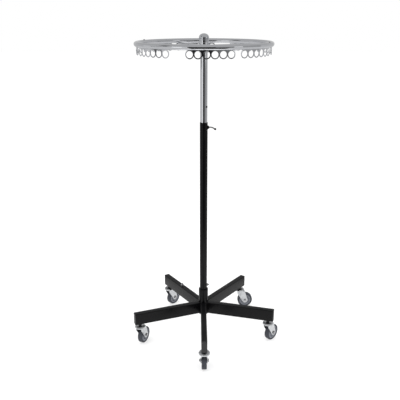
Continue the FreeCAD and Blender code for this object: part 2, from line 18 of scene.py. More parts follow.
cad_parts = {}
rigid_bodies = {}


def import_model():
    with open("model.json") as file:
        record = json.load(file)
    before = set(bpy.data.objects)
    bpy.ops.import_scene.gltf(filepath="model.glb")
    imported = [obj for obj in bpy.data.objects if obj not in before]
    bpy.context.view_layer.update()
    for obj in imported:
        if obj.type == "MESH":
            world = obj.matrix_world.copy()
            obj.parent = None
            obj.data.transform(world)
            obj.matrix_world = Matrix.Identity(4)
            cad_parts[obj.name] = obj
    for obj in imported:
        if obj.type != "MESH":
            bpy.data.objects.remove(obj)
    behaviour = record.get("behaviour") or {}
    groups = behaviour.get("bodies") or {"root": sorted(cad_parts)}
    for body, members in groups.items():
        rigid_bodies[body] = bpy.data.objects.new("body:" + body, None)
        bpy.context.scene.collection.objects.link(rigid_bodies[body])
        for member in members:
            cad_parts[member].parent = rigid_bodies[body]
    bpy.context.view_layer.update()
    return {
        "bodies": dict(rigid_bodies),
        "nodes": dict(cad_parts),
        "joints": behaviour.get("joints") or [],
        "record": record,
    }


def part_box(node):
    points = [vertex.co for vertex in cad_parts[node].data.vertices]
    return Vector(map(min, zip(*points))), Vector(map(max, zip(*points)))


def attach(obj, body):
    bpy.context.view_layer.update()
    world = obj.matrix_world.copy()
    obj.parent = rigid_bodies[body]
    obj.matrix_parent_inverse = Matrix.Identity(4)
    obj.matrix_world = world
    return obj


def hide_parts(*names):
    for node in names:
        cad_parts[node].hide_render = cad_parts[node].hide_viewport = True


LOG = logging.getLogger("stand")
MM = 0.001
TINY = 1e-7

Point = tuple[float, float]
Colour = tuple[float, float, float]


class Slot(Enum):
    """Finishes of the stand, by the record's slot names."""

    BLACK_FRAME = "black_frame"
    BLACK_PLASTIC = "black_plastic"
    CHROME = "chrome"
    STRIP_CHROME = "strip_chrome"
    ZINC_FORK = "zinc_fork"
    FASTENER_STEEL = "fastener_steel"
    BLACK_STEM = "black_stem"
    TYRE_RUBBER = "tyre_rubber"
    WHEEL_CORE = "wheel_core"
    WHITE_PLASTIC = "white_plastic"
    SPRING_STEEL = "spring_steel"


class Lay(Enum):
    """Which way the fine marks of a metal run."""

    UPRIGHT = (1.0, 1.0, 0.04)
    LEVEL = (0.08, 0.08, 1.0)
    EVEN = (1.0, 1.0, 1.0)


# ---- node trees ------------------------------------------------------------
class Signal:
    """A node's output value that can be used in Python expressions."""

    def __init__(self, graph: "Graph", socket: bpy.types.NodeSocket) -> None:
        """Keeps the tree and the socket."""
        self.graph = graph
        self.socket = socket

    def math(self, operation: str, *operands: "Signal | float") -> "Signal":
        """Adds one Math node.

        Args:
            operation: Blender's name of the operation.
            *operands: its inputs in order.

        Returns:
            The node's result.
        """
        sockets = dict(enumerate(operands))
        return self.graph.signal(
            "ShaderNodeMath", "Value", {"operation": operation}, sockets
        )

    def __add__(self, other: "Signal | float") -> "Signal":
        """Sum."""
        return self.math("ADD", self, other)

    def __radd__(self, other: float) -> "Signal":
        """Sum with a plain number on the left."""
        return self.math("ADD", other, self)

    def __sub__(self, other: "Signal | float") -> "Signal":
        """Difference."""
        return self.math("SUBTRACT", self, other)

    def __rsub__(self, other: float) -> "Signal":
        """Difference from a plain number."""
        return self.math("SUBTRACT", other, self)

    def __mul__(self, other: "Signal | float") -> "Signal":
        """Product."""
        return self.math("MULTIPLY", self, other)

    def __rmul__(self, other: float) -> "Signal":
        """Product with a plain number on the left."""
        return self.math("MULTIPLY", other, self)

    def __truediv__(self, other: "Signal | float") -> "Signal":
        """Quotient."""
        return self.math("DIVIDE", self, other)

    def __pow__(self, power: float) -> "Signal":
        """Power."""
        return self.math("POWER", self, power)

    def above(self, limit: float, width: float) -> "Signal":
        """Soft mask that turns on above a limit.

        Args:
            limit: value at which the mask starts.
            width: how far past the limit it is full.

        Returns:
            A value from 0 to 1.
        """
        sockets = {"Value": self, "From Min": limit, "From Max": limit + width}
        return self.graph.signal("ShaderNodeMapRange", "Result", {}, sockets)


class Graph:
    """Adds nodes and links to one shader or geometry tree."""

    def __init__(self, tree: bpy.types.NodeTree) -> None:
        """Keeps the tree."""
        self.tree = tree

    def node(
        self, kind: str, settings: dict | None = None, sockets: dict | None = None
    ) -> bpy.types.Node:
        """Adds a node, sets it up and feeds its sockets.

        Args:
            kind: the node's type.
            settings: attributes such as an operation, or "stops" of a ramp.
            sockets: values or signals by socket name or number.

        Returns:
            The new node.
        """
        made = self.tree.nodes.new(kind)
        for name, value in (settings or {}).items():
            if name == "stops":
                self._stops(made.color_ramp, value)
            else:
                setattr(made, name, value)
        for name, value in (sockets or {}).items():
            self.feed(made.inputs[name], value)
        return made

    def signal(
        self,
        kind: str,
        output: str | int,
        settings: dict | None = None,
        sockets: dict | None = None,
    ) -> Signal:
        """Adds a node and returns one of its outputs.

        Args:
            kind: the node's type.
            output: name or number of the output.
            settings: attributes of the node.
            sockets: values or signals by socket name or number.

        Returns:
            The chosen output.
        """
        return Signal(self, self.node(kind, settings, sockets).outputs[output])

    def feed(self, socket: bpy.types.NodeSocket, value: object) -> None:
        """Links a signal to a socket, or sets its value."""
        if isinstance(value, Signal):
            self.tree.links.new(value.socket, socket)
        else:
            socket.default_value = value

    def blend(
        self, factor: Signal | float, low: Signal | Colour, high: Signal | Colour
    ) -> Signal:
        """Mixes two colours.

        Args:
            factor: share of the second colour.
            low: first colour.
            high: second colour.

        Returns:
            The mixed colour.
        """
        pair = [c if isinstance(c, Signal) else (*c, 1.0) for c in (low, high)]
        sockets = {0: factor, 6: pair[0], 7: pair[1]}
        return self.signal("ShaderNodeMix", 2, {"data_type": "RGBA"}, sockets)

    def noise(self, place: Signal, size: float, detail: float = 3.0) -> Signal:
        """Soft noise with a given grain size.

        Args:
            place: where on the piece.
            size: size of the grain in metres.
            detail: how many finer layers it has.

        Returns:
            A value about 0.5.
        """
        sockets = {"Vector": place, "Scale": 1.0 / size, "Detail": detail}
        return self.signal("ShaderNodeTexNoise", "Fac", {}, sockets)

    def stretched(self, place: Signal, scale: Sequence[float]) -> Signal:
        """Place scaled on each axis, so that a pattern runs one way.

        Args:
            place: where on the piece.
            scale: factor on X, Y and Z.

        Returns:
            The scaled place.
        """
        sockets = {0: place, 1: tuple(scale)}
        settings = {"operation": "MULTIPLY"}
        return self.signal("ShaderNodeVectorMath", "Vector", settings, sockets)

    @staticmethod
    def _stops(ramp: bpy.types.ColorRamp, stops: Sequence[tuple]) -> None:
        """Sets a colour ramp's stops.

        Args:
            ramp: the ramp.
            stops: pairs of place and colour.
        """
        while len(ramp.elements) > 1:
            ramp.elements.remove(ramp.elements[-1])
        for number, (place, colour) in enumerate(stops):
            if number:
                stop = ramp.elements.new(place)
            else:
                stop = ramp.elements[0]
            stop.position = place
            stop.color = (*colour, 1.0)


# ---- finishes --------------------------------------------------------------
@dataclass(frozen=True)
class Finish:
    """What all finishes share: a name and a shader to fill in."""

    name: str

    def make(self) -> bpy.types.Material:
        """Builds the material.

        Returns:
            The finished material.
        """
        material = bpy.data.materials.new(self.name)
        material.use_nodes = True
        graph = Graph(material.node_tree)
        shader = material.node_tree.nodes["Principled BSDF"]
        place = graph.signal("ShaderNodeTexCoord", "Object")
        self.fill(graph, shader, place)
        return material

    def fill(self, graph: Graph, shader: bpy.types.Node, place: Signal) -> None:
        """Sets the shader; each finish has its own.

        Args:
            graph: the material's nodes.
            shader: its principled shader.
            place: where on the piece.
        """
        raise NotImplementedError

    @staticmethod
    def relief(
        graph: Graph, shader: bpy.types.Node, height: Signal, depth: float
    ) -> None:
        """Feeds a height into the shader's normal.

        Args:
            graph: the material's nodes.
            shader: its principled shader.
            height: height from 0 to 1.
            depth: real depth of the relief in metres.
        """
        sockets = {"Strength": 1.0, "Distance": depth, "Height": height}
        graph.feed(
            shader.inputs["Normal"],
            graph.signal("ShaderNodeBump", "Normal", {}, sockets),
        )


@dataclass(frozen=True)
class PowderCoat(Finish):
    """Baked powder paint with a fine orange peel, light handling marks, and a paler
    tone on up-facing faces that is part settled dust and part painted top light.
    """

    shade: Colour = (0.0018, 0.0018, 0.0022)
    worn: Colour = (0.008, 0.008, 0.009)
    # Pale tone for up-facing faces: part settled dust, part painted light from above.
    dust_and_top_light: Colour = (0.045, 0.045, 0.048)
    roughness: float = 0.27
    gloss: float = 0.16
    peel_size: float = 1.6 * MM
    peel_depth: float = 0.05 * MM
    top_dust_and_light_share: float = 0.12

    def fill(self, graph: Graph, shader: bpy.types.Node, place: Signal) -> None:
        """Paints the coat.

        Args:
            graph: the material's nodes.
            shader: its principled shader.
            place: where on the piece.
        """
        peel = graph.noise(place, self.peel_size, 2.0)
        cloud = graph.noise(place, 60 * MM, 4.0)
        speck = graph.noise(place, 0.5 * MM, 1.0).above(0.62, 0.1)
        rubs = graph.noise(graph.stretched(place, (1, 1, 0.15)), 5 * MM, 5.0)
        marks = rubs.above(0.62, 0.12) * cloud.above(0.45, 0.2)
        facing = graph.signal("ShaderNodeNewGeometry", "Normal")
        upward = graph.signal("ShaderNodeSeparateXYZ", "Z", {}, {0: facing})
        # Up-facing faces go paler and rougher: part settled dust, part painted top
        # light.
        settled_dust_and_top_light = upward.above(0.55, 0.45) * cloud.above(0.3, 0.4)
        tone = graph.blend(0.5 * marks + 0.3 * speck, self.shade, self.worn)
        tone = graph.blend(self.top_dust_and_light_share * settled_dust_and_top_light, tone, self.dust_and_top_light)
        rough = self.roughness + 0.10 * (cloud - 0.5) + 0.12 * marks
        graph.feed(shader.inputs["Base Color"], tone)
        graph.feed(shader.inputs["Roughness"], rough + 0.15 * settled_dust_and_top_light)
        shader.inputs["Specular IOR Level"].default_value = self.gloss
        self.relief(graph, shader, peel + 0.3 * speck, self.peel_depth)


@dataclass(frozen=True)
class Plating(Finish):
    """Plated metal with polishing marks, haze and small scratches."""

    bright: Colour = (0.63, 0.64, 0.665)
    dull: Colour = (0.50, 0.51, 0.54)
    roughness: float = 0.06
    haze: float = 0.05
    lay: Lay = Lay.EVEN
    mark_size: float = 0.4 * MM
    mark_depth: float = 0.002 * MM
    mottle: float = 0.15

    def fill(self, graph: Graph, shader: bpy.types.Node, place: Signal) -> None:
        """Plates the metal.

        Args:
            graph: the material's nodes.
            shader: its principled shader.
            place: where on the piece.
        """
        along = graph.stretched(place, self.lay.value)
        lines = graph.noise(along, self.mark_size, 3.0)
        cloud = graph.noise(place, 25 * MM, 4.0)
        spots = graph.noise(place, 1.2 * MM, 2.0).above(0.64, 0.08)
        film = cloud.above(0.40, 0.35)
        tone = graph.blend(
            self.mottle * film + 0.4 * self.mottle * lines, self.bright, self.dull
        )
        rough = self.roughness + self.haze * film + 0.4 * self.haze * spots
        graph.feed(shader.inputs["Base Color"], tone)
        graph.feed(shader.inputs["Roughness"], rough + 0.3 * self.haze * lines)
        shader.inputs["Metallic"].default_value = 1.0
        self.relief(graph, shader, lines, self.mark_depth)


@dataclass(frozen=True)
class Moulding(Finish):
    """Moulded plastic or rubber with a fine grain and settled dust."""

    shade: Colour = (0.05, 0.05, 0.055)
    pale: Colour = (0.09, 0.09, 0.10)
    roughness: float = 0.5
    gloss: float = 0.4
    grain_size: float = 0.7 * MM
    grain_depth: float = 0.04 * MM
    wear: float = 0.5

    def fill(self, graph: Graph, shader: bpy.types.Node, place: Signal) -> None:
        """Colours the moulding.

        Args:
            graph: the material's nodes.
            shader: its principled shader.
            place: where on the piece.
        """
        grain = graph.noise(place, self.grain_size, 2.0)
        cloud = graph.noise(place, 14 * MM, 4.0)
        scuff = graph.noise(place, 3 * MM, 5.0).above(0.56, 0.14) * cloud.above(
            0.42, 0.3
        )
        tone = graph.blend(self.wear * scuff + 0.25 * grain, self.shade, self.pale)
        rough = self.roughness + 0.15 * (cloud - 0.5) + 0.1 * scuff
        graph.feed(shader.inputs["Base Color"], tone)
        graph.feed(shader.inputs["Roughness"], rough)
        shader.inputs["Specular IOR Level"].default_value = self.gloss
        self.relief(graph, shader, grain, self.grain_depth)


@dataclass(frozen=True)
class StudioFloor(Finish):
    """Plain pale studio floor."""

    shade: Colour = (0.50, 0.50, 0.50)
    glow: float = 0.50

    def fill(self, graph: Graph, shader: bpy.types.Node, place: Signal) -> None:
        """Colours the floor and lights it softly from below.

        Args:
            graph: the material's nodes.
            shader: its principled shader.
            place: where on the floor.
        """
        paler = tuple(0.985 * c for c in self.shade)
        tone = graph.blend(graph.noise(place, 0.9, 2.0), self.shade, paler)
        graph.feed(shader.inputs["Base Color"], tone)
        shader.inputs["Roughness"].default_value = 0.9
        shader.inputs["Specular IOR Level"].default_value = 0.0
        shader.inputs["Emission Color"].default_value = (1, 1, 1, 1)
        shader.inputs["Emission Strength"].default_value = self.glow


@dataclass(frozen=True)
class Glow(Finish):
    """Evenly lit or dark studio card."""

    level: float = 1.0

    def fill(self, graph: Graph, shader: bpy.types.Node, place: Signal) -> None:
        """Lights the card.

        Args:
            graph: the material's nodes.
            shader: its principled shader.
            place: where on the card.
        """
        shader.inputs["Base Color"].default_value = (0, 0, 0, 1)
        shader.inputs["Specular IOR Level"].default_value = 0.0
        shader.inputs["Roughness"].default_value = 1.0
        shader.inputs["Emission Color"].default_value = (1, 1, 1, 1)
        shader.inputs["Emission Strength"].default_value = self.level


FINISHES: dict[Slot, Finish] = {
    Slot.BLACK_FRAME: PowderCoat("black_frame"),
    Slot.BLACK_PLASTIC: Moulding(
        "black_plastic",
        shade=(0.012, 0.012, 0.013),
        pale=(0.035, 0.035, 0.037),
        roughness=0.42,
    ),
    Slot.CHROME: Plating("chrome", lay=Lay.UPRIGHT),
    Slot.STRIP_CHROME: Plating("strip_chrome", roughness=0.10, haze=0.07, mottle=0.25),
    Slot.ZINC_FORK: Plating(
        "zinc_fork",
        bright=(0.58, 0.59, 0.60),
        dull=(0.34, 0.35, 0.37),
        roughness=0.22,
        haze=0.12,
        mark_size=0.9 * MM,
        mark_depth=0.01 * MM,
        mottle=0.5,
    ),
    Slot.FASTENER_STEEL: Plating(
        "fastener_steel",
        bright=(0.42, 0.42, 0.43),
        dull=(0.24, 0.24, 0.25),
        roughness=0.28,
        haze=0.12,
        lay=Lay.LEVEL,
        mottle=0.45,
    ),
    Slot.BLACK_STEM: PowderCoat(
        # Small share of the paler up-facing tone: part dust, part painted top light.
        "black_stem", shade=(0.02, 0.02, 0.022), roughness=0.4, top_dust_and_light_share=0.05
    ),
    Slot.TYRE_RUBBER: Moulding(
        "tyre_rubber",
        shade=(0.036, 0.039, 0.049),
        pale=(0.085, 0.090, 0.104),
        roughness=0.62,
        gloss=0.3,
        grain_depth=0.08 * MM,
    ),
    Slot.WHEEL_CORE: Moulding(
        "wheel_core",
        shade=(0.19, 0.20, 0.23),
        pale=(0.30, 0.31, 0.34),
        roughness=0.42,
        wear=0.35,
    ),
    Slot.WHITE_PLASTIC: Moulding(
        "white_plastic",
        shade=(0.72, 0.72, 0.69),
        pale=(0.60, 0.60, 0.57),
        roughness=0.45,
        wear=0.2,
    ),
    Slot.SPRING_STEEL: Plating(
        "spring_steel",
        bright=(0.58, 0.57, 0.55),
        dull=(0.40, 0.38, 0.36),
        roughness=0.25,
        haze=0.1,
        lay=Lay.LEVEL,
        mottle=0.4,
    ),
}


# ---- outlines and meshes ---------------------------------------------------
def rounded(
    points: Sequence[Point],
    radius: float | Sequence[float],
    steps: int = 4,
    closed: bool = True,
) -> list[Point]:
    """Rounds the corners of a flat outline.

    Args:
        points: corners of the outline.
        radius: one radius, or one for each corner.
        steps: how many pieces each rounding has.
        closed: whether the last corner joins the first.

    Returns:
        The outline with an arc at each corner.
    """
    count = len(points)
    radii = [radius] * count if isinstance(radius, (int, float)) else list(radius)
    result: list[Point] = []
    for number, point in enumerate(points):
        here = Vector(point)
        outermost = not closed and number in (0, count - 1)
        if outermost or radii[number] <= 0:
            result.append((here.x, here.y))
            continue
        back = Vector(points[number - 1]) - here
        ahead = Vector(points[(number + 1) % count]) - here
        half = back.angle(ahead) / 2
        cut = radii[number] / math.tan(half)
        cut = min(cut, 0.49 * back.length, 0.49 * ahead.length)
        reach = cut / math.cos(half)
        centre = here + (back.normalized() + ahead.normalized()).normalized() * reach
        first = here + back.normalized() * cut - centre
        last = here + ahead.normalized() * cut - centre
        start = math.atan2(first.y, first.x)
        sweep = math.atan2(last.y, last.x) - start
        sweep = (sweep + math.pi) % (2 * math.pi) - math.pi
        for k in range(steps + 1):
            angle = start + sweep * k / steps
            result.append(
                (
                    centre.x + first.length * math.cos(angle),
                    centre.y + first.length * math.sin(angle),
                )
            )
    return result


def arc(
    centre: Point, radius: float, start: float, stop: float, steps: int
) -> list[Point]:
    """Points on a flat arc.

    Args:
        centre: middle of the arc.
        radius: its radius.
        start: first angle in degrees.
        stop: last angle in degrees.
        steps: number of pieces.

    Returns:
        The points from start to stop.
    """
    result = []
    for k in range(steps + 1):
        angle = math.radians(start + (stop - start) * k / steps)
        result.append(
            (
                centre[0] + radius * math.cos(angle),
                centre[1] + radius * math.sin(angle),
            )
        )
    return result


def towards(bearing: float) -> Vector:
    """Level unit vector on a bearing in degrees."""
    angle = math.radians(bearing)
    return Vector((math.sin(angle), -math.cos(angle), 0.0))


def swung(bearing: float) -> Matrix:
    """Turn that brings a piece drawn along +X round to a bearing."""
    return Matrix.Rotation(math.radians(bearing - 90), 4, "Z")


def pointed(origin: Vector, direction: Vector) -> Matrix:
    """Place whose local Z runs along a direction from an origin."""
    turn = direction.to_track_quat("Z", "Y").to_matrix().to_4x4()
    return Matrix.Translation(origin) @ turn


def tidy(mesh: bpy.types.Mesh, sharp: float) -> None:
    """Merges doubles, turns faces outwards and sets the shading.

    Args:
        mesh: the mesh to tidy.
        sharp: angle in degrees above which an edge stays crisp.
    """
    work = bmesh.new()
    work.from_mesh(mesh)
    bmesh.ops.remove_doubles(work, verts=work.verts, dist=2e-6)
    bmesh.ops.recalc_face_normals(work, faces=work.faces)
    work.to_mesh(mesh)
    work.free()
    mesh.shade_smooth()
    mesh.set_sharp_from_angle(angle=math.radians(sharp))


def place_in_scene(name: str, mesh: bpy.types.Mesh) -> bpy.types.Object:
    """Makes an object of a mesh and links it to the scene."""
    piece = bpy.data.objects.new(name, mesh)
    bpy.context.scene.collection.objects.link(piece)
    return piece


class Shell:
    """Corners and faces of one piece, gathered before it becomes a mesh."""

    def __init__(self) -> None:
        """Starts empty."""
        self.corners: list[Vector] = []
        self.faces: list[tuple[int, ...]] = []

    def row(self, points: Iterable[Sequence[float]]) -> list[int]:
        """Adds corners and returns their numbers."""
        first = len(self.corners)
        self.corners.extend(Vector(point) for point in points)
        return list(range(first, len(self.corners)))

    def band(self, low: list[int], high: list[int], closed: bool = True) -> None:
        """Joins two rows of corners; a row of one corner makes a fan.

        Args:
            low: first row.
            high: second row.
            closed: whether the rows close on themselves.
        """
        count = max(len(low), len(high))
        for k in range(count if closed else count - 1):
            after = (k + 1) % count
            if len(low) == 1:
                self.faces.append((low[0], high[after], high[k]))
            elif len(high) == 1:
                self.faces.append((low[k], low[after], high[0]))
            else:
                self.faces.append((low[k], low[after], high[after], high[k]))

    def loft(
        self, rows: Iterable[Iterable[Sequence[float]]], looped: bool = False
    ) -> None:
        """Skins a series of closed rows.

        Args:
            rows: the rows in order; a row may be a single pole.
            looped: whether the last row joins the first.
        """
        numbers = [self.row(points) for points in rows]
        for low, high in zip(numbers, numbers[1:]):
            self.band(low, high)
        if looped:
            self.band(numbers[-1], numbers[0])

    def turn(
        self,
        outline: Sequence[Sequence[float]],
        place: Matrix | None = None,
        segments: int = 64,
        looped: bool = False,
        shift: Callable[[Vector], Vector] | None = None,
    ) -> None:
        """Turns an outline about the local Z axis.

        Args:
            outline: (radius, height) or (half width, height, sides) entries.
            place: where the local axes stand.
            segments: number of corners round the axis.
            looped: whether the outline closes on itself.
            shift: moves each corner of the first and last rows, as for a cope.
        """
        place = place or Matrix.Identity(4)
        rows = []
        for number, entry in enumerate(outline):
            radius, height = entry[0], entry[1]
            sides = entry[2] if len(entry) > 2 else 0
            if radius < TINY:
                rows.append([place @ Vector((0, 0, height))])
                continue
            row = []
            for k in range(segments):
                angle = 2 * math.pi * k / segments
                reach = radius
                if sides:
                    share = 2 * math.pi / sides
                    reach = radius / math.cos(angle % share - share / 2)
                corner = Vector(
                    (reach * math.cos(angle), reach * math.sin(angle), height)
                )
                corner = place @ corner
                if shift and number in (0, len(outline) - 1):
                    corner = shift(corner)
                row.append(corner)
            rows.append(row)
        self.loft(rows, looped)

    def pipe(
        self, path: Sequence[Vector], radii: Sequence[float], segments: int = 24
    ) -> None:
        """Skins a round bar along a path, closed at both ends.

        Args:
            path: points along the middle.
            radii: radius at each point.
            segments: number of corners round it.
        """
        rows = [[path[0]]]
        side = None
        for k, point in enumerate(path):
            ahead = path[min(k + 1, len(path) - 1)] - path[max(k - 1, 0)]
            ahead.normalize()
            if side is None:
                side = ahead.orthogonal().normalized()
            side = (side - ahead * side.dot(ahead)).normalized()
            across = ahead.cross(side)
            row = []
            for n in range(segments):
                angle = 2 * math.pi * n / segments
                spread = side * math.cos(angle) + across * math.sin(angle)
                row.append(point + spread * radii[k])
            rows.append(row)
        rows.append([path[-1]])
        self.loft(rows)

    def piece(self, name: str, sharp: float = 32.0) -> bpy.types.Object:
        """Makes the gathered faces one object.

        Args:
            name: the piece's name.
            sharp: angle in degrees above which an edge stays crisp.

        Returns:
            The object, linked to the scene.
        """
        mesh = bpy.data.meshes.new(name)
        mesh.from_pydata([tuple(c) for c in self.corners], [], self.faces)
        tidy(mesh, sharp)
        return place_in_scene(name, mesh)


def eased(piece: bpy.types.Object, width: float, segments: int = 2) -> bpy.types.Object:
    """Rolls a small round onto a piece's sharp edges.

    Args:
        piece: the piece.
        width: width of the rounding.
        segments: pieces across it.

    Returns:
        The same piece with its new mesh.
    """
    bevel = piece.modifiers.new("ease", "BEVEL")
    bevel.width = width
    bevel.segments = segments
    bevel.limit_method = "ANGLE"
    bevel.angle_limit = math.radians(40)
    graph = bpy.context.evaluated_depsgraph_get()
    mesh = bpy.data.meshes.new_from_object(piece.evaluated_get(graph))
    piece.modifiers.clear()
    piece.data = mesh
    tidy(mesh, 40)
    return piece


# ---- geometry trees --------------------------------------------------------
class Recipe:
    """A geometry tree with named inputs that is baked to a plain mesh."""

    def __init__(self, name: str, inputs: dict[str, str]) -> None:
        """Starts the tree.

        Args:
            name: the tree's name.
            inputs: socket type of each named input.
        """
        self.name = name
        self.tree = bpy.data.node_groups.new(name, "GeometryNodeTree")
        self.graph = Graph(self.tree)
        self.ids: dict[str, str] = {}
        self.tree.interface.new_socket(
            "Geometry", in_out="OUTPUT", socket_type="NodeSocketGeometry"
        )
        for label, kind in {**inputs, "Finish": "NodeSocketMaterial"}.items():
            made = self.tree.interface.new_socket(
                label, in_out="INPUT", socket_type=kind
            )
            self.ids[label] = made.identifier
        self.entry = self.graph.node("NodeGroupInput")

    def given(self, label: str) -> Signal:
        """One of the tree's inputs as a signal."""
        return Signal(self.graph, self.entry.outputs[label])

    def close(self, geometry: Signal, merge: float = 0.0) -> None:
        """Ends the tree in real geometry with its finish.

        Args:
            geometry: what the tree made.
            merge: distance below which corners are joined.
        """
        real = self.graph.signal("GeometryNodeRealizeInstances", 0, {}, {0: geometry})
        if merge:
            sockets = {"Geometry": real, "Distance": merge}
            real = self.graph.signal("GeometryNodeMergeByDistance", 0, {}, sockets)
        sockets = {"Geometry": real, "Material": self.given("Finish")}
        painted = self.graph.signal("GeometryNodeSetMaterial", 0, {}, sockets)
        self.graph.node("NodeGroupOutput", {}, {"Geometry": painted})

    def bake(
        self, name: str, values: dict[str, object], sharp: float = 32.0
    ) -> bpy.types.Object:
        """Runs the tree once and keeps the result as a plain mesh.

        Args:
            name: name of the new piece.
            values: value of each named input.
            sharp: angle in degrees above which an edge stays crisp.

        Returns:
            The new piece.
        """
        host = place_in_scene(name + "_host", bpy.data.meshes.new(name + "_host"))
        modifier = host.modifiers.new(self.name, "NODES")
        modifier.node_group = self.tree
        for label, value in values.items():
            modifier[self.ids[label]] = value
        host.update_tag()
        view = bpy.context.evaluated_depsgraph_get()
        mesh = bpy.data.meshes.new_from_object(host.evaluated_get(view))
        host.modifiers.clear()
        bpy.data.objects.remove(host)
        mesh.name = name
        tidy(mesh, sharp)
        return place_in_scene(name, mesh)


def rail_recipe() -> Recipe:
    """Tree that sweeps a round tube along part of a circle.

    Returns:
        The recipe.
    """
    recipe = Recipe(
        "round_rail",
        {
            "Ring radius": "NodeSocketFloat",
            "Tube radius": "NodeSocketFloat",
            "Height": "NodeSocketFloat",
            "Start": "NodeSocketFloat",
            "Sweep": "NodeSocketFloat",
            "Steps": "NodeSocketInt",
        },
    )
    graph = recipe.graph
    path = graph.signal(
        "GeometryNodeCurveArc",
        "Curve",
        {"mode": "RADIUS"},
        {
            "Resolution": recipe.given("Steps"),
            4: recipe.given("Ring radius"),
            5: recipe.given("Start"),
            6: recipe.given("Sweep"),
        },
    )
    section = graph.signal(
        "GeometryNodeCurvePrimitiveCircle",
        "Curve",
        {"mode": "RADIUS"},
        {"Resolution": 48, 4: recipe.given("Tube radius")},
    )
    tube = graph.signal(
        "GeometryNodeCurveToMesh",
        "Mesh",
        {},
        {"Curve": path, "Profile Curve": section, "Fill Caps": True},
    )
    lift = graph.signal(
        "ShaderNodeCombineXYZ", "Vector", {}, {"Z": recipe.given("Height")}
    )
    raised = graph.signal(
        "GeometryNodeSetPosition", 0, {}, {"Geometry": tube, "Offset": lift}
    )
    recipe.close(raised, 1e-6)
    return recipe


def strip_recipe() -> Recipe:
    """Tree that lays punched cells side by side and rolls them round a ring.

    Returns:
        The recipe.
    """
    recipe = Recipe(
        "punched_strip",
        {
            "Middle cell": "NodeSocketObject",
            "End cell": "NodeSocketObject",
            "Holes": "NodeSocketInt",
            "Pitch": "NodeSocketFloat",
            "Ring radius": "NodeSocketFloat",
            "Hole height": "NodeSocketFloat",
            "Bearing": "NodeSocketFloat",
        },
    )
    graph = recipe.graph
    pitch, holes = recipe.given("Pitch"), recipe.given("Holes")
    first = -0.5 * (pitch * (holes - 1.0))
    start = graph.signal("ShaderNodeCombineXYZ", 0, {}, {"X": first})
    step = graph.signal("ShaderNodeCombineXYZ", 0, {}, {"X": pitch})
    line = graph.signal(
        "GeometryNodeMeshLine",
        0,
        {"mode": "OFFSET"},
        {"Count": holes, "Start Location": start, "Offset": step},
    )
    index = graph.signal("GeometryNodeInputIndex", 0)
    is_first = 1.0 - index.above(0.2, 0.1)
    is_last = (index - holes).above(-1.5, 0.1)
    row = []
    choices = (
        ("Middle cell", (1.0 - is_first) * (1.0 - is_last), 0.0),
        ("End cell", is_first, 0.0),
        ("End cell", is_last, math.pi),
    )
    for label, chosen, turn in choices:
        cell = graph.signal(
            "GeometryNodeObjectInfo",
            "Geometry",
            {"transform_space": "ORIGINAL"},
            {"Object": recipe.given(label)},
        )
        spin = graph.signal(
            "FunctionNodeEulerToRotation", 0, {}, {0: (0.0, 0.0, turn)}
        )
        row.append(
            graph.signal(
                "GeometryNodeInstanceOnPoints",
                0,
                {},
                {
                    "Points": line,
                    "Selection": chosen,
                    "Instance": cell,
                    "Rotation": spin,
                },
            )
        )
    joined = graph.node("GeometryNodeJoinGeometry")
    for part in row:
        graph.tree.links.new(part.socket, joined.inputs[0])
    flat = graph.signal(
        "GeometryNodeRealizeInstances", 0, {}, {0: Signal(graph, joined.outputs[0])}
    )
    place = graph.node(
        "ShaderNodeSeparateXYZ",
        {},
        {0: graph.signal("GeometryNodeInputPosition", 0)},
    )
    along, depth, high = (Signal(graph, place.outputs[k]) for k in range(3))
    ring = recipe.given("Ring radius")
    angle = along / ring + recipe.given("Bearing")
    reach = ring - depth
    rolled = graph.signal(
        "ShaderNodeCombineXYZ",
        0,
        {},
        {
            "X": reach * angle.math("SINE", angle),
            "Y": -1.0 * (reach * angle.math("COSINE", angle)),
            "Z": high + recipe.given("Hole height"),
        },
    )
    curved = graph.signal(
        "GeometryNodeSetPosition", 0, {}, {"Geometry": flat, "Position": rolled}
    )
    recipe.close(curved, 5e-6)
    return recipe


def weld_recipe() -> Recipe:
    """Tree that strings small overlapping beads along lines.

    Returns:
        The recipe.
    """
    recipe = Recipe(
        "weld_run",
        {
            "Lines": "NodeSocketObject",
            "Bead": "NodeSocketFloat",
            "Spacing": "NodeSocketFloat",
        },
    )
    graph = recipe.graph
    lines = graph.signal(
        "GeometryNodeObjectInfo",
        "Geometry",
        {"transform_space": "ORIGINAL"},
        {"Object": recipe.given("Lines")},
    )
    curve = graph.signal("GeometryNodeMeshToCurve", 0, {}, {0: lines})
    dots = graph.node(
        "GeometryNodeCurveToPoints",
        {"mode": "LENGTH"},
        {"Curve": curve, "Length": recipe.given("Spacing")},
    )
    bead = graph.signal(
        "GeometryNodeMeshUVSphere",
        0,
        {},
        {"Segments": 8, "Rings": 5, "Radius": recipe.given("Bead")},
    )
    size = graph.signal(
        "FunctionNodeRandomValue",
        1,
        {"data_type": "FLOAT"},
        {2: 0.85, 3: 1.12, "Seed": 7},
    )
    scale = graph.signal(
        "ShaderNodeCombineXYZ", 0, {}, {"X": size, "Y": size, "Z": 0.75 * size}
    )
    run = graph.signal(
        "GeometryNodeInstanceOnPoints",
        0,
        {},
        {
            "Points": Signal(graph, dots.outputs["Points"]),
            "Instance": bead,
            "Rotation": Signal(graph, dots.outputs["Rotation"]),
            "Scale": scale,
        },
    )
    recipe.close(run)
    return recipe


def fastener_recipe() -> Recipe:
    """Tree that sets one fastener on each marked point.

    Returns:
        The recipe.
    """
    recipe = Recipe(
        "fastener_row", {"Marks": "NodeSocketObject", "Fastener": "NodeSocketObject"}
    )
    graph = recipe.graph
    marks, part = (
        graph.signal(
            "GeometryNodeObjectInfo",
            "Geometry",
            {"transform_space": "ORIGINAL"},
            {"Object": recipe.given(label)},
        )
        for label in ("Marks", "Fastener")
    )
    row = graph.signal(
        "GeometryNodeInstanceOnPoints", 0, {}, {"Points": marks, "Instance": part}
    )
    recipe.close(row)
    return recipe


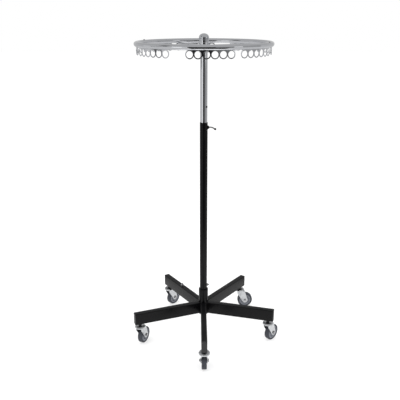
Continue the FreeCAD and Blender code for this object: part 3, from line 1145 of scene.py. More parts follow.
def line_object(name: str, runs: Sequence[Sequence[Vector]]) -> bpy.types.Object:
    """Mesh of open lines for a recipe to follow.

    Args:
        name: name of the helper.
        runs: points of each line.

    Returns:
        The helper object.
    """
    corners: list[tuple] = []
    edges: list[tuple[int, int]] = []
    for run in runs:
        first = len(corners)
        corners.extend(tuple(point) for point in run)
        edges.extend((k, k + 1) for k in range(first, len(corners) - 1))
    mesh = bpy.data.meshes.new(name)
    mesh.from_pydata(corners, edges, [])
    return place_in_scene(name, mesh)


# ---- the workshop that fits pieces to the frame -----------------------------
class Workshop:
    """Keeps the frame and the finishes, and fits each finished piece."""

    def __init__(self, frame: dict) -> None:
        """Mixes the finishes.
        """
        self.frame = frame
        self.paint = {slot: finish.make() for slot, finish in FINISHES.items()}
        self.body_of: dict[str, str] = {}
        for body, members in frame["record"]["behaviour"]["bodies"].items():
            for node in members:
                self.body_of[node] = body
        self.slot_of = {
            part["node"]: Slot(part["material_slot"])
            for part in frame["record"]["subparts"]
        }
        self.replaced: set[str] = set()

    def joint(self, name: str) -> dict:
        """The record's joint of that name."""
        return next(j for j in self.frame["joints"] if j["name"] == name)

    def bearing(self, node: str) -> float:
        """Bearing of a CAD node's middle, in degrees."""
        corners = self.frame["nodes"][node].data.vertices
        x = sum(corner.co.x for corner in corners)
        y = sum(corner.co.y for corner in corners)
        return math.degrees(math.atan2(x, -y))

    def middle(self, node: str) -> float:
        """Bearing halfway between the two ends of a curved node.

        Args:
            node: a node that runs round the mast for less than a full turn.

        Returns:
            The bearing in degrees.
        """
        rough = self.bearing(node)
        turns = []
        for corner in self.frame["nodes"][node].data.vertices:
            turn = math.degrees(math.atan2(corner.co.x, -corner.co.y)) - rough
            turns.append((turn + 180) % 360 - 180)
        return rough + (min(turns) + max(turns)) / 2

    def fit(self, piece: bpy.types.Object, slot: Slot, *nodes: str) -> None:
        """Paints a piece and puts it in the place of CAD nodes.

        Args:
            piece: the finished piece.
            slot: its finish.
            *nodes: the nodes it stands for, all on one body.
        """
        self.join(piece, slot, self.body_of[nodes[0]])
        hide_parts(*nodes)
        self.replaced.update(nodes)

    def join(self, piece: bpy.types.Object, slot: Slot, body: str) -> None:
        """Paints a piece and lets it ride on a body.

        Args:
            piece: the finished piece.
            slot: its finish.
            body: the CAD body it moves with.
        """
        piece.data.materials.clear()
        piece.data.materials.append(self.paint[slot])
        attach(piece, body)
        LOG.info("%s: %d faces, %s", piece.name, len(piece.data.polygons), slot.value)

    def paint_the_rest(self) -> None:
        """Gives each CAD node that is still shown its slot's finish."""
        for name, node in self.frame["nodes"].items():
            if name in self.replaced:
                continue
            slot = self.slot_of[name]
            node.data.materials.clear()
            node.data.materials.append(self.paint[slot])
            LOG.info("%s: CAD node in %s", name, slot.value)


# ---- rolling base ----------------------------------------------------------
@dataclass
class RollingBase:
    """Socket, five legs with end caps, caster stems and the leg's cap nut."""

    shop: Workshop
    socket_radius: float = 21.5 * MM
    socket_bore: float = 16.55 * MM
    socket_chamfer: float = 1.2 * MM
    floor_thickness: float = 3 * MM
    leg_width: float = 25 * MM
    leg_corner: float = 2.5 * MM
    cap_bevel: float = 1.4 * MM
    cap_thickness: float = 4 * MM
    seam: float = 0.3 * MM
    stem_collar: float = 7 * MM
    stem_hexagon: float = 8.5 * MM
    hexagon_height: float = 5.5 * MM
    nut_hexagon: float = 6.5 * MM
    bead: float = 1.5 * MM
    leg_count: int = 5

    def build(self) -> None:
        """Builds every piece of the base."""
        self.socket()
        self.legs()
        self.end_caps()
        self.stems()
        self.cap_nut()
        self.welds()

    def socket(self) -> None:
        """Tube socket that the mast stands in."""
        low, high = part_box("base_socket")
        r, c, b = self.socket_radius, self.socket_chamfer, self.socket_bore
        inside = low.z + self.floor_thickness
        outline = [
            (0, low.z),
            (r - c, low.z),
            (r, low.z + c),
            (r, high.z - c),
            (r - c, high.z),
            (b, high.z),
            (b, inside),
            (0, inside),
        ]
        shell = Shell()
        shell.turn(rounded(outline, 0.8 * MM, 3, closed=False), segments=96)
        self.shop.fit(shell.piece("socket_tube"), Slot.BLACK_FRAME, "base_socket")

    def section(self, inset: float, height: float) -> list[Point]:
        """Leg's cross-section, drawn in by an inset.

        Args:
            inset: how far inside the outer faces.
            height: full height of the leg.

        Returns:
            Points across and up from the middle.
        """
        w = self.leg_width / 2 - inset
        h = height / 2 - inset
        corners = [(-w, -h), (w, -h), (w, h), (-w, h)]
        return rounded(corners, max(self.leg_corner - inset, 0.4 * MM), 5)

    def legs(self) -> None:
        """Rectangular tubes, coped to the socket."""
        for number in range(1, self.leg_count + 1):
            node = f"leg_{number}"
            low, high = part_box(node)
            end = self.reach(number) - self.cap_thickness
            height, middle = high.z - low.z, (high.z + low.z) / 2
            place = swung(self.shop.bearing(node))
            cope = self.socket_radius - self.seam

            def ring(inset: float, x: float | None) -> list[Vector]:
                """One row round the leg; coped where x is None."""
                row = []
                for y, z in self.section(inset, height):
                    out = math.sqrt(cope**2 - y**2) if x is None else x
                    row.append(place @ Vector((out, y, middle + z)))
                return row

            shell = Shell()
            shell.loft(
                [
                    [place @ Vector((cope - 1.5 * MM, 0, middle))],
                    ring(0, None),
                    ring(0, 2 * self.socket_radius),
                    ring(0, end / 2),
                    ring(0, end - self.seam),
                    ring(self.seam, end),
                    [place @ Vector((end, 0, middle))],
                ]
            )
            self.shop.fit(shell.piece(f"leg_tube_{number}"), Slot.BLACK_FRAME, node)

    def reach(self, number: int) -> float:
        """Distance from the mast's axis to a leg's end."""
        low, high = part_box("leg_end_caps")
        ahead = towards(self.shop.bearing(f"leg_{number}"))
        if number > 1:
            return self.reach(1)
        half = self.leg_width / 2 - self.cap_bevel
        return (-low.y - half * abs(ahead.x)) / -ahead.y

    def end_caps(self) -> None:
        """Bevelled plugs with a shallow dish, one in each leg."""
        low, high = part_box("leg_end_caps")
        height, middle = high.z - low.z, (high.z + low.z) / 2
        end = self.reach(1)
        back = end - self.cap_thickness
        shell = Shell()
        steps = [
            (self.seam, back),
            (0, back + self.seam),
            (0, end - self.cap_bevel),
            (0.25 * self.cap_bevel, end - 0.6 * self.cap_bevel),
            (self.cap_bevel, end - 0.1 * self.cap_bevel),
            (1.4 * self.cap_bevel, end),
            (3.4 * MM, end),
            (3.9 * MM, end - 0.5 * MM),
        ]
        for number in range(1, self.leg_count + 1):
            place = swung(self.shop.bearing(f"leg_{number}"))
            rows = [[place @ Vector((back, 0, middle))]]
            for inset, x in steps:
                rows.append(
                    [
                        place @ Vector((x, y, middle + z))
                        for y, z in self.section(inset, height)
                    ]
                )
            rows.append([place @ Vector((end - 0.5 * MM, 0, middle))])
            shell.loft(rows)
        self.shop.fit(shell.piece("leg_plugs"), Slot.BLACK_PLASTIC, "leg_end_caps")

    def stems(self) -> None:
        """Caster stems: collar and hexagon under each leg, and the head below."""
        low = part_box("caster_stems")[0].z
        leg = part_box("leg_1")[0].z
        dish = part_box("caster_fork_1")[1].z
        c, h = self.stem_collar, self.stem_hexagon
        shoulder = leg - self.hexagon_height
        shell = Shell()
        for number in range(1, self.leg_count + 1):
            spot = Vector(self.shop.joint(f"swivel_{number}")["pos_m"])
            place = Matrix.Translation((spot.x, spot.y, 0))
            upper = [
                (0, dish + 0.5 * MM),
                (c - 0.5 * MM, dish + 0.5 * MM),
                (c, dish + 1 * MM),
                (c, shoulder - 0.3 * MM),
                (h - 0.6 * MM, shoulder),
                (h, shoulder + 0.9 * MM, 6),
                (h, leg - 0.02 * MM, 6),
                (0, leg - 0.02 * MM),
            ]
            shell.turn(upper, place, 48)
            head = [(0, low), (8 * MM, low), (8 * MM, low + 3.4 * MM)]
            head.append((0, low + 3.4 * MM))
            shell.turn(rounded(head, 0.8 * MM, 3, closed=False), place, 48)
        self.shop.fit(shell.piece("stem_set"), Slot.BLACK_STEM, "caster_stems")

    def cap_nut(self) -> None:
        """Domed nut on its washer, on top of one leg."""
        low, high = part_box("leg_cap_nut")
        place = Matrix.Translation(((low.x + high.x) / 2, (low.y + high.y) / 2, low.z))
        h = self.nut_hexagon
        tall = high.z - low.z
        washer = [(0, 0), (8 * MM, 0), (8 * MM, 1.5 * MM), (0, 1.5 * MM)]
        nut = [(0, 1.5 * MM), (0.93 * h, 1.5 * MM), (h, 2.1 * MM, 6)]
        nut += [(h, 6.9 * MM, 6), (0.93 * h, 7.5 * MM), (6 * MM, 7.6 * MM)]
        nut += arc((0, 7.6 * MM), 6 * MM, 15, 75, 5)
        nut = [(r, min(z, tall)) for r, z, *_ in nut[:2]] + nut[2:]
        nut.append((0, tall))
        shell = Shell()
        shell.turn(rounded(washer, 0.4 * MM, 2, closed=False), place, 48)
        shell.turn(nut, place, 48)
        self.shop.fit(shell.piece("cap_nut"), Slot.FASTENER_STEEL, "leg_cap_nut")

    def welds(self) -> None:
        """Weld runs round each leg's root."""
        low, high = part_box("leg_1")
        half, runs = self.leg_width / 2, []
        corners = [(-half, low.z), (half, low.z), (half, high.z), (-half, high.z)]
        loop = rounded(corners + corners[:1], self.leg_corner, 3, closed=False)
        for number in range(1, self.leg_count + 1):
            place = swung(self.shop.bearing(f"leg_{number}"))
            fine: list[Vector] = []
            for (y0, z0), (y1, z1) in zip(loop, loop[1:]):
                for k in range(6):
                    y, z = y0 + (y1 - y0) * k / 6, z0 + (z1 - z0) * k / 6
                    x = math.sqrt(self.socket_radius**2 - y**2)
                    fine.append(place @ Vector((x, y, z)))
            runs.append(fine)
        lines = line_object("leg_weld_lines", runs)
        beads = weld_recipe().bake(
            "leg_welds",
            {
                "Lines": lines,
                "Bead": self.bead,
                "Spacing": 1.5 * self.bead,
                "Finish": self.shop.paint[Slot.BLACK_FRAME],
            },
            60,
        )
        bpy.data.objects.remove(lines)
        self.shop.join(beads, Slot.BLACK_FRAME, "base")


# ---- casters ---------------------------------------------------------------
@dataclass
class Caster:
    """One swivel caster: pressed fork, axle bolt, tyre and centre."""

    shop: Workshop
    number: int
    sheet: float = 2 * MM
    gap: float = 26 * MM
    lobe: float = 13 * MM
    bend: float = 4 * MM
    top_back: float = -13 * MM
    top_front: float = 24 * MM
    front_step: float = 10 * MM
    back_step: float = 14 * MM
    step_out: float = 4 * MM
    dish_radius: float = 24 * MM
    dish_lip: float = 9 * MM
    dish_step: float = 4 * MM
    stem_bore: float = 5.05 * MM
    race_radius: float = 15 * MM
    bridge_drop: float = 7 * MM
    tread: float = 22 * MM
    tyre_inner: float = 29 * MM
    tyre_crown: float = 4 * MM
    groove: float = 0.5 * MM
    side_step: tuple[float, ...] = (2.2 * MM, 2.6 * MM, 3.1 * MM, 3.5 * MM)
    side_step_depth: float = 0.4 * MM
    groove_edges: tuple[float, ...] = (3.8 * MM, 3.6 * MM, 3.0 * MM, 2.8 * MM)
    hub_radius: float = 11 * MM
    hub_width: float = 25 * MM
    web: float = 6 * MM
    rim: float = 5 * MM
    bore: float = 4.1 * MM
    axle: float = 4 * MM
    hexagon: float = 6.5 * MM
    columns: int = 12

    def __post_init__(self) -> None:
        """Reads where the caster stands from the record's joints."""
        stem = Vector(self.shop.joint(f"swivel_{self.number}")["pos_m"])
        hub = Vector(self.shop.joint(f"roll_{self.number}")["pos_m"])
        ahead = Vector((hub.x - stem.x, hub.y - stem.y, 0))
        self.trail = ahead.length
        self.radius = hub.z
        turn = math.atan2(ahead.y, ahead.x)
        base = Matrix.Translation((stem.x, stem.y, 0))
        self.place = base @ Matrix.Rotation(turn, 4, "Z")
        self.hub = self.place @ Vector((self.trail, 0, hub.z))
        across = self.place.to_3x3() @ Vector((0, 1, 0))
        self.axle_place = pointed(self.hub, across)

    def build(self) -> None:
        """Builds every piece of the caster."""
        self.fork()
        self.bolt()
        self.tyre()
        self.centre()

    def edges(self, z: float, top: float) -> tuple[float, float]:
        """Back and front edge of a cheek at a height.

        Args:
            z: height above the floor.
            top: height of the bridge's top face.

        Returns:
            The two distances ahead of the stem.
        """
        low_back = (self.top_back, top - self.back_step)
        low_front = (self.top_front + self.step_out, top - self.front_step)
        centre = (self.trail, self.radius)
        touch_back = self.touch(low_back, centre, 1)
        touch_front = self.touch(low_front, centre, -1)
        circle = math.sqrt(max(self.lobe**2 - (z - centre[1]) ** 2, 0))

        def between(a: Point, b: Point) -> float:
            """Distance ahead on the straight edge from a to b."""
            return a[0] + (b[0] - a[0]) * (z - a[1]) / (b[1] - a[1])

        if z >= low_back[1]:
            back = self.top_back
        elif z >= touch_back[1]:
            back = between(low_back, touch_back)
        else:
            back = centre[0] - circle
        if z >= low_front[1]:
            front = between((self.top_front, top), low_front)
        elif z >= touch_front[1]:
            front = between(low_front, touch_front)
        else:
            front = centre[0] + circle
        return back, front

    def touch(self, point: Point, centre: Point, side: int) -> Point:
        """Where a line from a point touches the lobe's circle.

        Args:
            point: start of the line.
            centre: middle of the circle.
            side: +1 or -1 for the two tangents.

        Returns:
            The touching point.
        """
        away = (point[0] - centre[0], point[1] - centre[1])
        angle = math.atan2(away[1], away[0])
        angle += side * math.acos(self.lobe / math.hypot(*away))
        return (
            centre[0] + self.lobe * math.cos(angle),
            centre[1] + self.lobe * math.sin(angle),
        )

    def fork(self) -> None:
        """U-bent sheet with a lobe at each end, and the dish on top."""
        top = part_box(f"caster_fork_{self.number}")[1].z
        roof = top - self.bridge_drop
        half, t = (self.gap + self.sheet) / 2, self.sheet / 2
        mid_z = roof - t
        lowest = self.radius - self.lobe
        heights = [
            lowest + self.lobe * (1 - math.cos(math.radians(a)))
            for a in (5, 14, 24, 34, 45, 56, 68, 80)
        ]
        heights += [0.0417, 0.050, 0.060, 0.070, 0.0785, 0.083]
        path = [(-half, z, -1.0, 0.0) for z in heights if z < mid_z - self.bend]
        for k in range(6):
            a = math.radians(18 * k)
            y = -half + self.bend * (1 - math.cos(a))
            z = mid_z - self.bend * (1 - math.sin(a))
            path.append((y, z, -math.cos(a), math.sin(a)))
        path.append((0.0, mid_z, 0.0, 1.0))
        path += [(-y, z, -ny, nz) for y, z, ny, nz in reversed(path[:-1])]
        rows = []
        for y, z, ny, nz in path:
            back, front = self.edges(z, roof)
            spots = [back + (front - back) * n / self.columns for n in range(13)]
            outer = [(x, y + ny * t, z + nz * t) for x in spots]
            inner = [(x, y - ny * t, z - nz * t) for x in reversed(spots)]
            rows.append([self.place @ Vector(p) for p in outer + inner])
        ends = [
            [sum(rows[k], Vector()) / len(rows[k])] for k in (0, len(rows) - 1)
        ]
        shell = Shell()
        shell.loft([ends[0], *rows, ends[1]])
        s, b = self.dish_step, self.stem_bore
        outer, lip = self.dish_radius, top - self.dish_lip
        dish = [
            (b, top),
            (outer - s, top),
            (outer, top - s),
            (outer, lip),
            (outer - self.sheet, lip),
            (outer - self.sheet, top - s - 1 * MM),
            (outer - s - 1 * MM, top - self.sheet),
            (self.race_radius, top - self.sheet),
            (self.race_radius, roof),
            (b, roof),
        ]
        radii = [0.3 * MM, 3 * MM, 3 * MM, 0.8 * MM, 0.8 * MM, 2 * MM]
        radii = [r for r in radii] + [2 * MM, 0, 0, 0.3 * MM]
        shell.turn(rounded(dish, radii, 5), self.place, 72, looped=True)
        piece = eased(shell.piece(f"fork_{self.number}", 40), 0.35 * MM)
        self.shop.fit(piece, Slot.ZINC_FORK, f"caster_fork_{self.number}")

    def bolt(self) -> None:
        """Axle bolt: chamfered head on one side, lock nut on the other."""
        side = self.gap / 2 + self.sheet
        h, a = self.hexagon, self.axle
        outline = [
            (0, -side - 4.5 * MM),
            (0.62 * h, -side - 4.5 * MM),
            (0.93 * h, -side - 4.4 * MM),
            (h, -side - 3.6 * MM, 6),
            (h, -side - 0.1 * MM, 6),
            (a, -side - 0.1 * MM),
            (a, side + 0.05 * MM),
            (h, side + 0.05 * MM, 6),
            (h, side + 3.7 * MM, 6),
            (0.9 * h, side + 4.3 * MM),
            (0.74 * h, side + 5.5 * MM),
            (a, side + 5.5 * MM),
            (a, side + 7.1 * MM),
            (0.88 * a, side + 7.5 * MM),
            (0, side + 7.5 * MM),
        ]
        shell = Shell()
        shell.turn(outline, self.axle_place, 48)
        piece = shell.piece(f"axle_bolt_{self.number}")
        self.shop.fit(piece, Slot.FASTENER_STEEL, f"caster_axle_{self.number}")

    def tyre(self) -> None:
        """Rubber tyre with two fine grooves round its tread."""
        r, inner, w, c = self.radius, self.tyre_inner, self.tread / 2, self.tyre_crown
        g = self.groove
        depth = self.side_step_depth
        first, second, third, fourth = (inner + reach for reach in self.side_step)
        outline = [(inner, -w), (first, -w), (second, -w + depth)]
        outline += [(third, -w + depth), (fourth, -w)]
        outline += [(z, x) for x, z in arc((-w + c, r - c), c, 180, 90, 6)]
        start, low_start, low_stop, stop = self.groove_edges
        outline += [(r, -start), (r - g, -low_start), (r - g, -low_stop)]
        outline.append((r, -stop))
        outline += [(radius, -x) for radius, x in reversed(outline)]
        shell = Shell()
        shell.turn(outline, self.axle_place, 96, looped=True)
        piece = shell.piece(f"tyre_{self.number}", 38)
        self.shop.fit(piece, Slot.TYRE_RUBBER, f"caster_tyre_{self.number}")

    def centre(self) -> None:
        """Moulded wheel centre: hub, web and rim."""
        rim_out, rim_half = self.tyre_inner, self.tread / 2 - 1.5 * MM
        rim_in = rim_out - self.rim
        side = [
            (self.bore, self.hub_width / 2),
            (self.hub_radius, self.hub_width / 2),
            (self.hub_radius + 0.6 * MM, self.web / 2),
            (rim_in - 0.4 * MM, self.web / 2),
            (rim_in, rim_half),
            (rim_out, rim_half),
        ]
        radii = [0.4 * MM, 1 * MM, 2 * MM, 2 * MM, 0.8 * MM, 0.2 * MM]
        outline = side + [(r, -z) for r, z in reversed(side)]
        shell = Shell()
        loop = rounded(outline, radii + radii[::-1], 4)
        shell.turn(loop, self.axle_place, 72, looped=True)
        piece = shell.piece(f"wheel_centre_{self.number}", 38)
        self.shop.fit(piece, Slot.WHEEL_CORE, f"caster_core_{self.number}")


# ---- masts -----------------------------------------------------------------
@dataclass
class OuterMast:
    """Black lower mast with its screw, welded boss and clamp lever."""

    shop: Workshop
    radius: float = 16.5 * MM
    bore: float = 15.3 * MM
    root: float = 8 * MM
    tip: float = 6 * MM
    rod: float = 3 * MM
    rod_gap: float = 0.15 * MM
    bend: float = 24 * MM
    knob: float = 4.6 * MM
    knob_tail: float = 4 * MM
    washer: float = 6 * MM
    hexagon: float = 5 * MM
    bead: float = 1.1 * MM

    def build(self) -> None:
        """Builds every piece of the lower mast."""
        self.tube()
        self.screw()
        self.boss()
        self.lever()
        self.weld()

    def onto_tube(self, point: Vector) -> Vector:
        """Moves a point along X to just under the tube's surface."""
        depth = self.radius - 0.3 * MM
        return Vector((math.sqrt(depth**2 - point.y**2), point.y, point.z))

    def tube(self) -> None:
        """Straight tube with eased ends."""
        low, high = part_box("outer_mast")
        r, b = self.radius, self.bore
        loop = [(r, low.z), (r, high.z), (b, high.z), (b, low.z)]
        shell = Shell()
        shell.turn(rounded(loop, 0.5 * MM, 3), segments=128, looped=True)
        self.shop.fit(shell.piece("mast_tube"), Slot.BLACK_FRAME, "outer_mast")

    def screw(self) -> None:
        """Hexagon screw and washer in the side of the mast."""
        low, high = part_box("mast_screw")
        middle = Vector((0, (low.y + high.y) / 2, (low.z + high.z) / 2))
        place = pointed(middle, Vector((1, 0, 0)))
        x, h = high.x, self.hexagon
        face = self.radius + 1.5 * MM
        outline = [
            (self.washer, self.radius - 2 * MM),
            (self.washer, face - 0.3 * MM),
            (self.washer - 0.4 * MM, face),
            (h, face, 6),
            (h, face + 3.5 * MM, 6),
            (0.92 * h, face + 4.2 * MM),
            (3 * MM, face + 4.2 * MM),
            (3 * MM, x - 0.5 * MM),
            (2.6 * MM, x),
            (0, x),
        ]
        shell = Shell()
        shell.turn(outline, place, 48, shift=self.first_only(outline))
        shell.row([(self.radius - 0.6 * MM, middle.y, middle.z)])
        hub = len(shell.corners) - 1
        shell.band([hub], list(range(48)))
        self.shop.fit(shell.piece("side_screw"), Slot.FASTENER_STEEL, "mast_screw")

    def first_only(self, outline: Sequence[Sequence[float]]) -> Callable:
        """Cope for a piece whose last row is a pole or stands clear.

        Args:
            outline: the turned outline.

        Returns:
            A function that moves corners near the tube onto it.
        """
        limit = max(entry[1] for entry in outline) - 1 * MM

        def shift(point: Vector) -> Vector:
            """Moves the corner unless it is at the far end."""
            return point if point.x > limit else self.onto_tube(point)

        return shift

    def boss(self) -> None:
        """Tapered boss, coped to the mast and bored for the clamp rod."""
        low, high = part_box("clamp_boss")
        middle = Vector((0, (low.y + high.y) / 2, (low.z + high.z) / 2))
        place = pointed(middle, Vector((1, 0, 0)))
        end, bore = high.x, self.rod + self.rod_gap
        outline = [
            (self.root, self.radius),
            (self.root - 0.6 * MM, self.radius + 1.2 * MM),
            (self.tip + 0.1 * MM, end - 0.9 * MM),
            (self.tip - 0.3 * MM, end - 0.2 * MM),
            (self.tip - 0.9 * MM, end),
            (bore + 0.5 * MM, end),
            (bore, end - 0.4 * MM),
            (bore, self.radius),
        ]
        shell = Shell()
        shell.turn(outline, place, 64, looped=True, shift=self.onto_tube)
        self.shop.fit(shell.piece("clamp_bush"), Slot.BLACK_FRAME, "clamp_boss")

    def lever(self) -> None:
        """Clamp rod bent down into a lever, with its rounded tip."""
        z = self.shop.joint("clamp_turn")["pos_m"][2]
        low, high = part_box("lever_tip")
        tip = Vector((high.x - self.knob, 0, low.z + self.knob))
        knee = Vector((34 * MM, 0, z))
        start = (self.radius + 0.2 * MM, z)
        flat = rounded([start, (knee.x, z), (tip.x, tip.z)], self.bend, 8, False)
        path = [Vector((x, 0, height)) for x, height in flat]
        path = [path[0], path[0] + Vector((0.1 * MM, 0, 0)), *path[1:]]
        radii = [0.9 * self.rod] + [self.rod] * (len(path) - 1)
        shell = Shell()
        shell.pipe(path, radii, 32)
        self.shop.fit(shell.piece("clamp_rod"), Slot.FASTENER_STEEL, "clamp_screw")
        k, tail = self.knob, self.knob_tail
        outline = [(0, -tail), (0.72 * k, -tail), (0.94 * k, -tail + 0.5 * MM)]
        outline += [(k, -tail + 1.3 * MM)]
        outline += [(z, x) for x, z in arc((0, 0), k, 90, 0, 12)]
        outline[-1] = (0, k)
        knob = Shell()
        knob.turn(outline, pointed(tip, (tip - knee).normalized()), 48)
        self.shop.fit(knob.piece("lever_knob"), Slot.BLACK_PLASTIC, "lever_tip")

    def weld(self) -> None:
        """Weld run round the root of the boss."""
        low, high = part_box("clamp_boss")
        z = (low.z + high.z) / 2
        loop = []
        for k in range(49):
            angle = 2 * math.pi * k / 48
            spot = Vector((0, self.root * math.cos(angle), z))
            spot.z += self.root * math.sin(angle)
            spot = self.onto_tube(spot)
            loop.append(spot + Vector((0.3 * MM, 0, 0)))
        lines = line_object("boss_weld_lines", [loop])
        beads = weld_recipe().bake(
            "boss_weld",
            {
                "Lines": lines,
                "Bead": self.bead,
                "Spacing": 1.4 * self.bead,
                "Finish": self.shop.paint[Slot.BLACK_FRAME],
            },
            60,
        )
        bpy.data.objects.remove(lines)
        self.shop.join(beads, Slot.BLACK_FRAME, "base")


@dataclass
class InnerMast:
    """Chrome upper mast, drilled for its snap button."""

    shop: Workshop
    radius: float = 15 * MM
    wall: float = 1.5 * MM
    hole: float = 4.3 * MM
    button: float = 4 * MM
    flange: float = 5.5 * MM
    flange_depth: float = 2 * MM
    dome: float = 1.6 * MM
    stand_out: float = 3 * MM
    back: float = 9 * MM
    segments: int = 96
    patch: int = 14

    def __post_init__(self) -> None:
        """Reads which way the button faces from the record's joint."""
        push = Vector(self.shop.joint("button_push")["axis"])
        self.facing = -push.normalized()
        self.turn = Matrix.Rotation(math.atan2(self.facing.y, self.facing.x), 4, "Z")

    def build(self) -> None:
        """Builds the tube and the button."""
        self.tube()
        self.snap_button()

    def tube(self) -> None:
        """Tube whose wall has a clean round hole for the button."""
        low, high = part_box("inner_mast")
        seat = (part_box("snap_button")[0].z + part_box("snap_button")[1].z) / 2
        half = self.patch // 2
        step = 2 * math.pi / self.segments
        side = half * step * self.radius
        rows_z = [seat + side * (2 * k / self.patch - 1) for k in range(self.patch + 1)]
        ease = 0.4 * MM
        heights = [low.z + ease, *rows_z, high.z - ease]
        shell = Shell()
        skins = []
        for radius in (self.radius, self.radius - self.wall):
            rows = [self.ring(shell, radius, z, step) for z in heights]
            self.skin(shell, rows, half)
            self.round_hole(shell, rows, radius, seat, half, step, side)
            skins.append(rows)
        mouth = [
            [
                self.ring(shell, self.radius - ease, z, step),
                self.ring(shell, self.radius - self.wall + ease, z, step),
            ]
            for z in (low.z, high.z)
        ]
        for (outer, inner), number in zip(mouth, (0, -1)):
            shell.band(skins[0][number], outer)
            shell.band(outer, inner)
            shell.band(inner, skins[1][number])
        shell.band(self.rims[0], self.rims[1])
        shell.corners = [self.turn @ corner for corner in shell.corners]
        self.shop.fit(shell.piece("chrome_mast"), Slot.CHROME, "inner_mast")

    def ring(self, shell: Shell, radius: float, z: float, step: float) -> list[int]:
        """Adds one ring of corners at a height.

        Args:
            shell: where the corners go.
            radius: radius of the ring.
            z: its height.
            step: angle between corners.

        Returns:
            The corners' numbers; the first lies on +X.
        """
        spots = []
        for k in range(self.segments):
            spots.append((radius * math.cos(k * step), radius * math.sin(k * step), z))
        return shell.row(spots)

    def skin(self, shell: Shell, rows: list[list[int]], half: int) -> None:
        """Joins rings, leaving out the square patch round the hole.

        Args:
            shell: where the faces go.
            rows: the rings from low to high.
            half: half the patch's width in columns.
        """
        for number, (low, high) in enumerate(zip(rows, rows[1:])):
            inside = 1 <= number <= self.patch
            for k in range(self.segments):
                after = (k + 1) % self.segments
                column = (k + half) % self.segments
                if inside and column < 2 * half:
                    continue
                shell.faces.append((low[k], low[after], high[after], high[k]))

    def round_hole(
        self,
        shell: Shell,
        rows: list[list[int]],
        radius: float,
        seat: float,
        half: int,
        step: float,
        side: float,
    ) -> None:
        """Fills the patch with rings that run from its edge to the hole.

        Args:
            shell: where the faces go.
            rows: the rings from low to high.
            radius: radius of this skin.
            seat: height of the hole's middle.
            half: half the patch's width in columns.
            step: angle between columns; not used.
            side: half the patch's width on the outer skin.
        """
        n = self.patch
        edge = [(k - half, 0) for k in range(n)]
        edge += [(half, k) for k in range(n)]
        edge += [(half - k, n) for k in range(n)]
        edge += [(-half, n - k) for k in range(n)]
        outer = [rows[1 + v][u % self.segments] for u, v in edge]
        rings = [outer]
        for share in (0.45, 0.8, 1.0):
            spots = []
            for u, v in edge:
                a, b = u * side / half, side * (2 * v / n - 1)
                length = math.hypot(a, b)
                reach = length + (self.hole - length) * share
                a, b = a / length * reach, b / length * reach
                angle = a / self.radius
                spots.append(
                    (radius * math.cos(angle), radius * math.sin(angle), seat + b)
                )
            rings.append(shell.row(spots))
        for low, high in zip(rings, rings[1:]):
            shell.band(low, high)
        if radius == self.radius:
            self.rims = [rings[-1]]
        else:
            self.rims.append(rings[-1])

    def snap_button(self) -> None:
        """Domed stop button with the flange that keeps it in the tube."""
        low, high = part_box("snap_button")
        middle = Vector((0, 0, (low.z + high.z) / 2))
        place = pointed(middle, self.facing)
        r, tip, back = self.button, self.radius + self.stand_out, self.back
        outline = [
            (0, back),
            (self.flange, back),
            (self.flange, back + self.flange_depth),
            (r, back + self.flange_depth),
            (r, tip - self.dome),
        ]
        radii = [0, 0.3 * MM, 0.3 * MM, 0.2 * MM, 0]
        outline = rounded(outline, radii, 2, closed=False)
        for k in range(1, 9):
            angle = math.radians(90 * k / 8)
            spot = (r * math.cos(angle), tip - self.dome * (1 - math.sin(angle)))
            outline.append(spot)
        outline[-1] = (0, tip)
        shell = Shell()
        shell.turn(outline, place, 48)
        self.shop.fit(shell.piece("stop_pin"), Slot.BLACK_STEM, "snap_button")


